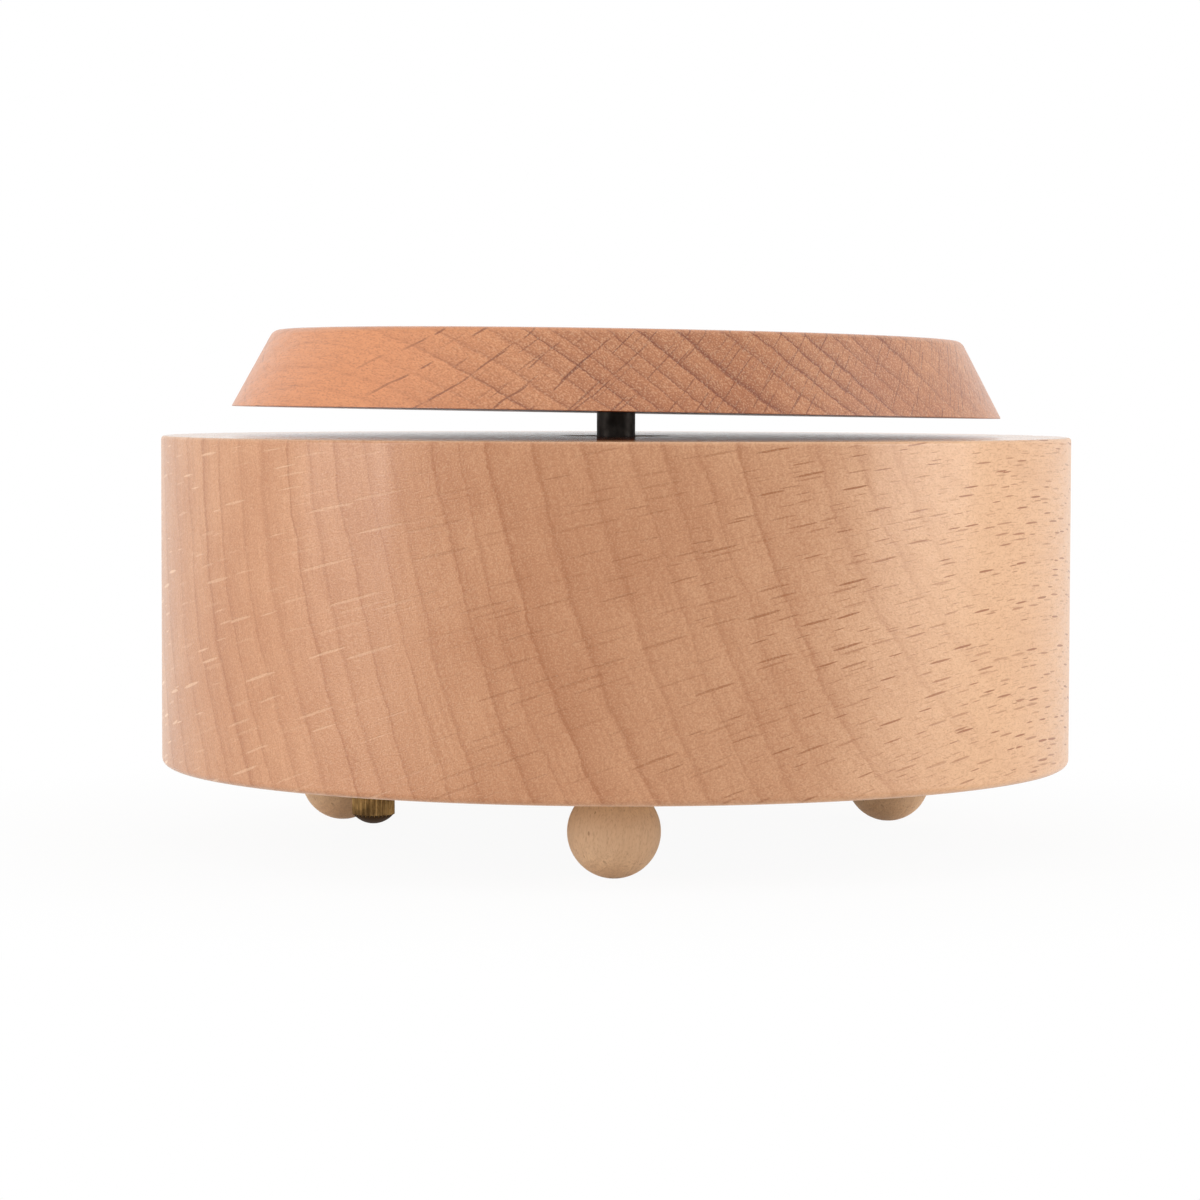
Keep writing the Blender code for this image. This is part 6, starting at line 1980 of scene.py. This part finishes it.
@dataclass
class Bracket:
    """A bearing bracket bent from sheet: a flange under the bedplate and a tapered leg."""

    node: str
    screw: str
    leg_near: float
    leg_far: float
    flange_near: float
    flange_far: float
    half: float = 3.2 * MM
    sheet: float = 1.0 * MM
    bend: float = 0.9 * MM
    top: float = 43.8638 * MM
    shoulder: float = 35.9638 * MM
    bottom: float = 32.9638 * MM
    taper: float = 0.5
    bearing: float = 1.3 * MM
    bearing_reach: float = 5.0 * MM
    screw_hole: float = 1.0 * MM
    hole_sides: int = 40

    def build(self) -> None:
        """Bends the bracket and drills it."""
        under = self.top - self.sheet
        bracket = Workpiece.block(
            f"bent_{self.node}",
            (-self.flange_far, -self.half, under),
            (-self.flange_near, self.half, self.top),
        )
        split, outer = self.leg_far, self.leg_near
        if self.leg_far >= self.flange_far:
            split, outer = outer, split
        bracket.saw((-split, 0, 0), (1, 0, 0))
        bracket.pick_faces(
            lambda middle, normal: normal.z < -0.9 and -self.leg_far < middle.x < -self.leg_near
        )
        for level, share in ((self.shoulder, 1.0), (self.bottom, self.taper)):
            bpy.ops.mesh.extrude_region_move()
            bpy.ops.transform.translate(value=(0, 0, level - bracket.picked_height()))
            bpy.ops.transform.resize(value=(1, share, 1), center_override=(0, 0, level))
        bracket.soften(
            self.bend, lambda a, b: max(abs(p.x + outer) + abs(p.z - self.top) for p in (a, b)) < NEAR, 4
        )
        reach = self.bearing_reach
        bearing = Workpiece.cylinder("bearing", self.bearing, -reach, reach, self.hole_sides)
        bearing.place(Matrix.Translation((-(self.leg_near + self.leg_far) / 2, *CYLINDER_AXIS)) @ LYING)
        bracket.cut(bearing)
        bracket.bore(self.screw_hole, under - MM, self.top + MM, stand(self.screw), self.hole_sides)
        bracket.finish(BRASS, "case", self.node)


@dataclass
class Fan:
    """The two-bladed air brake on the worm."""

    hub: float = 1.5 * MM
    bore: float = 0.95 * MM
    height: float = 4.6 * MM
    bottom: float = 20.9391 * MM
    blade_half: float = 0.175 * MM
    blade_reach: float = 6.5 * MM
    blade_inset: float = 0.3 * MM
    corner: float = 0.9 * MM
    hub_edge: float = 0.15 * MM
    hub_sides: int = 48

    def build(self) -> None:
        """Moulds the fan."""
        half, reach, inset = self.blade_half, self.blade_reach, self.blade_inset
        fan = Workpiece.cylinder("moulded_fan", self.hub, 0, self.height, self.hub_sides)
        fan.soften_ring(self.hub, 0, self.hub_edge)
        fan.soften_ring(self.hub, self.height, self.hub_edge)
        blade = Workpiece.block("blade", (-half, -reach, inset), (half, reach, self.height - inset))
        blade.soften(self.corner, lambda a, b: abs(a.x - b.x) > half, 4)
        fan.fuse(blade)
        fan.bore(self.bore, -MM, self.height + MM)
        fan.place(Matrix.Translation((*WORM_PLACE, self.bottom)))
        fan.finish(Moulded(), "governor", "fan")


@dataclass
class Mainspring:
    """The flat steel spiral in the barrel."""

    start: float = 2.975 * MM
    end: float = 11.225 * MM
    half: float = 0.175 * MM
    tail: float = 0.05 * MM
    turns: int = 4
    steps: int = 36
    low: float = 18.8838 * MM
    high: float = 28.0838 * MM

    def build(self) -> None:
        """Winds the strip outward step by step."""
        step = 2 * math.pi / self.steps
        count = self.turns * self.steps
        grow = (self.end - self.start) / count
        strip = Workpiece.block(
            "wound_mainspring",
            (self.start - self.half, -self.tail, self.low),
            (self.start + self.half, 0, self.high),
        )
        strip.pick_faces(lambda middle, normal: normal.y > 0.9)
        for index in range(1, count + 1):
            bpy.ops.mesh.extrude_region_move()
            bpy.ops.transform.rotate(value=-step, orient_axis="Z", center_override=(0, 0, 0))
            angle = index * step
            bpy.ops.transform.translate(value=(grow * math.cos(angle), grow * math.sin(angle), 0))
        strip.finish(SPRING, "case", "mainspring", smooth=40)


class Movement:
    """The spring, the wheels, the pinned cylinder and the comb under their bedplate."""

    def build(self) -> None:
        """Builds every piece of the movement that is modelled anew."""
        inner = Bracket("inner_bracket", "bedplate_screw_1", *mm(9.15, 10.15, 9.15, 13.45))
        outer = Bracket("outer_bracket", "bedplate_screw_2", *mm(34.2596, 35.2596, 30.9596, 35.2596))
        pieces = (Bedplate(), Barrel(), CrownWheel(), PinnedCylinder(), Comb(), inner, outer, Fan())
        for piece in (*pieces, Mainspring(), *self.turned_pieces(), *self.gears()):
            piece.build()

    def turned_pieces(self) -> list[Turned]:
        """The arbors, the bushes, the pillars and the stop rod.

        Returns:
            The pieces.
        """
        arbor = ((1.2, 1.1), (2.2, 10.3), (1.6, 41.68))
        bush = ((3.2, 3.3), (4.8, 4.1))
        rod = ((1.0, 10.464), (1.8, 11.464), (1.0, 14.9391))
        rod_bush = ((1.9, 3.0), (3.2, 3.8), (1.9, 5.0))
        pillar = ((1.3, 0.8), (0.9, 3.1), (1.3, 17.38), (0.9, 20.68))
        return [
            Turned("winding_arbor", BRIGHT, "turntable", arbor),
            Turned("arbor_bush", BRASS, "case", bush, bore=1.9 * MM),
            Turned("cylinder_arbor", BRIGHT, "cylinder", ((1.0, 26.1096),), lying=True),
            Turned("stop_rod", BRASS, "stop", rod, edge=0.3 * MM),
            Turned("stop_rod_bush", BRASS, "case", rod_bush, bore=1.3 * MM),
            *(Turned(node, BRIGHT, "case", pillar) for node in BARREL_PILLARS),
        ]

    def gears(self) -> list[Gear]:
        """The wheels and pinions whose axes lie along X.

        Returns:
            The wheels and pinions.
        """
        cylinder, first, worm = CYLINDER_AXIS, FIRST_AXIS, WORM_WHEEL_AXIS
        down, across = (0.0, -1.0), (1.0, 0.0)
        up_train, to_worm = between(cylinder, first), between(first, worm)
        first_arbor = ((0.35, 1.3), (0.6, 5.1), (0.35, 6.4))
        worm_arbor = ((0.35, 1.3), (0.6, 8.95), (0.35, 9.25))
        wheels = (
            ("cylinder_pinion", BRIGHT, "cylinder", 10, 0.58, cylinder, down, 0.0, 1.9, 1.3, False, ()),
            ("cylinder_gear", BRASS, "cylinder", 36, 0.4, cylinder, up_train, 0.0, 1.0, 1.3, False, ()),
            (
                "first_pinion", BRIGHT, "first_wheel_set", 8, 0.4,
                first, between(first, cylinder), 3.5, 1.4, 0.0, True, first_arbor,
            ),
            ("first_wheel", BRASS, "first_wheel_set", 32, 0.35, first, to_worm, 0.0, 1.0, 0.9, False, ()),
            (
                "worm_wheel_pinion", BRIGHT, "worm_wheel_set", 8, 0.35,
                worm, between(worm, first), 1.5, 1.4, 0.0, True, worm_arbor,
            ),
            ("worm_wheel", BRASS, "worm_wheel_set", 20, 0.35, worm, across, 0.0, 1.0, 0.9, False, ()),
        )
        return [
            Gear(node, look, body, teeth, module * MM, axis, towards, *mm(start, width, bore), gap, arbor)
            for node, look, body, teeth, module, axis, towards, start, width, bore, gap, arbor in wheels
        ]


class Fittings:
    """The dowels and the pieces of the movement that keep their own shape."""

    def build(self) -> None:
        """Gives each node that still shows the finish that its own material slot names."""
        dowel = bare_beech("bare_beech_dowel", (0.0, -43.0))
        finishes = {look.slot: look.material() for look in (dowel, BLACKENED, BRIGHT, SPRING, BRASS)}
        for name, node in NODES.items():
            if node.hide_render:
                continue
            for holder in node.material_slots:
                slot = holder.material.name.split(".")[0]
                holder.material = finishes[slot]
                log.info("%s: %s", name, slot)


# The studio


@dataclass
class Studio:
    """A pale floor, a white backdrop, soft lamps and the camera."""

    camera_place: Triple = (0.001309, -0.520556, 0.059631)
    camera_yaw: float = 0.00648
    camera_pitch: float = 0.05372
    camera_roll: float = 0.00251
    lens: float = 117.58
    sensor: float = 36.0
    floor_size: float = 12.0
    floor_shade: Colour = shade(236, 234, 232)
    shadow_reach: Pair = (0.05, 0.13)
    shadow_white: float = 0.94
    aim_height: float = 0.03
    room_shade: Colour = shade(250, 248, 246)
    room_strength: float = 0.57
    white: Colour = (1, 1, 1, 1)

    def build(self) -> None:
        """Sets up the camera, the floor, the world and the lamps."""
        self.build_camera()
        self.build_floor()
        self.build_world()
        self.hang_lamp("soft_left", azimuth=-160, height=0.30, distance=1.0, size=(0.4, 0.8), power=3.5)
        self.hang_lamp("strip_left", azimuth=-147, height=0.30, distance=0.9, size=(0.07, 0.8), power=1.6)
        self.hang_lamp("soft_right", azimuth=-10, height=0.30, distance=1.0, size=(0.6, 0.8), power=5.9)
        self.hang_lamp("soft_top", azimuth=-90, height=1.1, distance=0.35, size=(1.0, 0.8), power=1.0)
        bpy.context.scene.view_settings.view_transform = "Standard"

    def build_camera(self) -> None:
        """Stands the camera where the photographer's was."""
        clear_selection()
        turn = (
            Matrix.Rotation(self.camera_yaw, 3, "Z")
            @ Matrix.Rotation(math.pi / 2 - self.camera_pitch, 3, "X")
            @ Matrix.Rotation(self.camera_roll, 3, "Z")
        )
        bpy.ops.object.camera_add(location=self.camera_place, rotation=turn.to_euler())
        camera = bpy.context.active_object
        camera.name = "studio_camera"
        camera.data.lens = self.lens
        camera.data.sensor_width = self.sensor
        bpy.context.scene.camera = camera

    def build_floor(self) -> None:
        """Lays a pale floor that looks white to the camera and keeps the shadow."""
        clear_selection()
        bpy.ops.mesh.primitive_plane_add(size=self.floor_size, location=(0, 0, 0))
        floor = bpy.context.active_object
        floor.name = "studio_floor"
        sheet = NodeSheet(bpy.data.materials.new("studio_floor"))
        pale = sheet.add("BsdfDiffuse", {"Color": self.floor_shade})
        glow = sheet.add("Emission", {"Color": self.white, "Strength": 1.0})
        away = sheet.vector("LENGTH", sheet.add("TexCoord").outputs["Object"])
        clear = sheet.rescale(away, *self.shadow_reach, self.shadow_white, 1.0)
        shown = sheet.times(self._seen(sheet), clear)
        both = sheet.add("MixShader", {0: shown, 1: pale.outputs[0], 2: glow.outputs[0]})
        sheet.add("OutputMaterial", {"Surface": both.outputs[0]})
        floor.data.materials.append(sheet.owner)

    def _seen(self, sheet: NodeSheet) -> Socket:
        """One for a ray that shows the surface to the camera, straight or through metal or glass.

        Args:
            sheet: The nodes that it is for.

        Returns:
            One or zero.
        """
        path = sheet.add("LightPath").outputs
        seen = sheet.number("MAXIMUM", path["Is Camera Ray"], path["Is Glossy Ray"])
        return sheet.number("MAXIMUM", seen, path["Is Transmission Ray"])

    def build_world(self) -> None:
        """Makes the room a plain soft light that is white behind the object."""
        world = bpy.data.worlds.new("studio_room")
        bpy.context.scene.world = world
        sheet = NodeSheet(world)
        room = sheet.add("Background", {"Color": self.room_shade, "Strength": self.room_strength})
        white = sheet.add("Background", {"Color": self.white, "Strength": 1.0})
        both = sheet.add("MixShader", {0: self._seen(sheet), 1: room.outputs[0], 2: white.outputs[0]})
        sheet.add("OutputWorld", {"Surface": both.outputs[0]})

    def hang_lamp(
        self, name: str, azimuth: float, height: float, distance: float, size: Pair, power: float
    ) -> None:
        """Hangs one soft lamp that faces the object.

        Args:
            name: The name of the lamp.
            azimuth: Direction in which it stands, in degrees.
            height: Height of its middle.
            distance: How far out it stands.
            size: Width and height of its face.
            power: Power in watts.
        """
        clear_selection()
        place = Vector((*polar(distance, azimuth), height))
        facing = (place - Vector((0, 0, self.aim_height))).to_track_quat("Z", "Y").to_euler()
        bpy.ops.object.light_add(type="AREA", location=place, rotation=facing)
        lamp = bpy.context.active_object
        lamp.name = name
        lamp.data.shape = "RECTANGLE"
        lamp.data.size, lamp.data.size_y = size
        lamp.data.energy = power


def main() -> None:
    """Builds the music box and its studio."""
    logging.basicConfig(level=logging.INFO, format="%(message)s")
    parts = (Studio(), Drum(), Cover(), BallFeet(), Turntable(), StopKnob(), Movement(), Screws(), Fittings())
    for part in parts:
        log.info("%s", type(part).__name__)
        part.build()
    clear_selection()


if __name__ == "__main__":
    main()
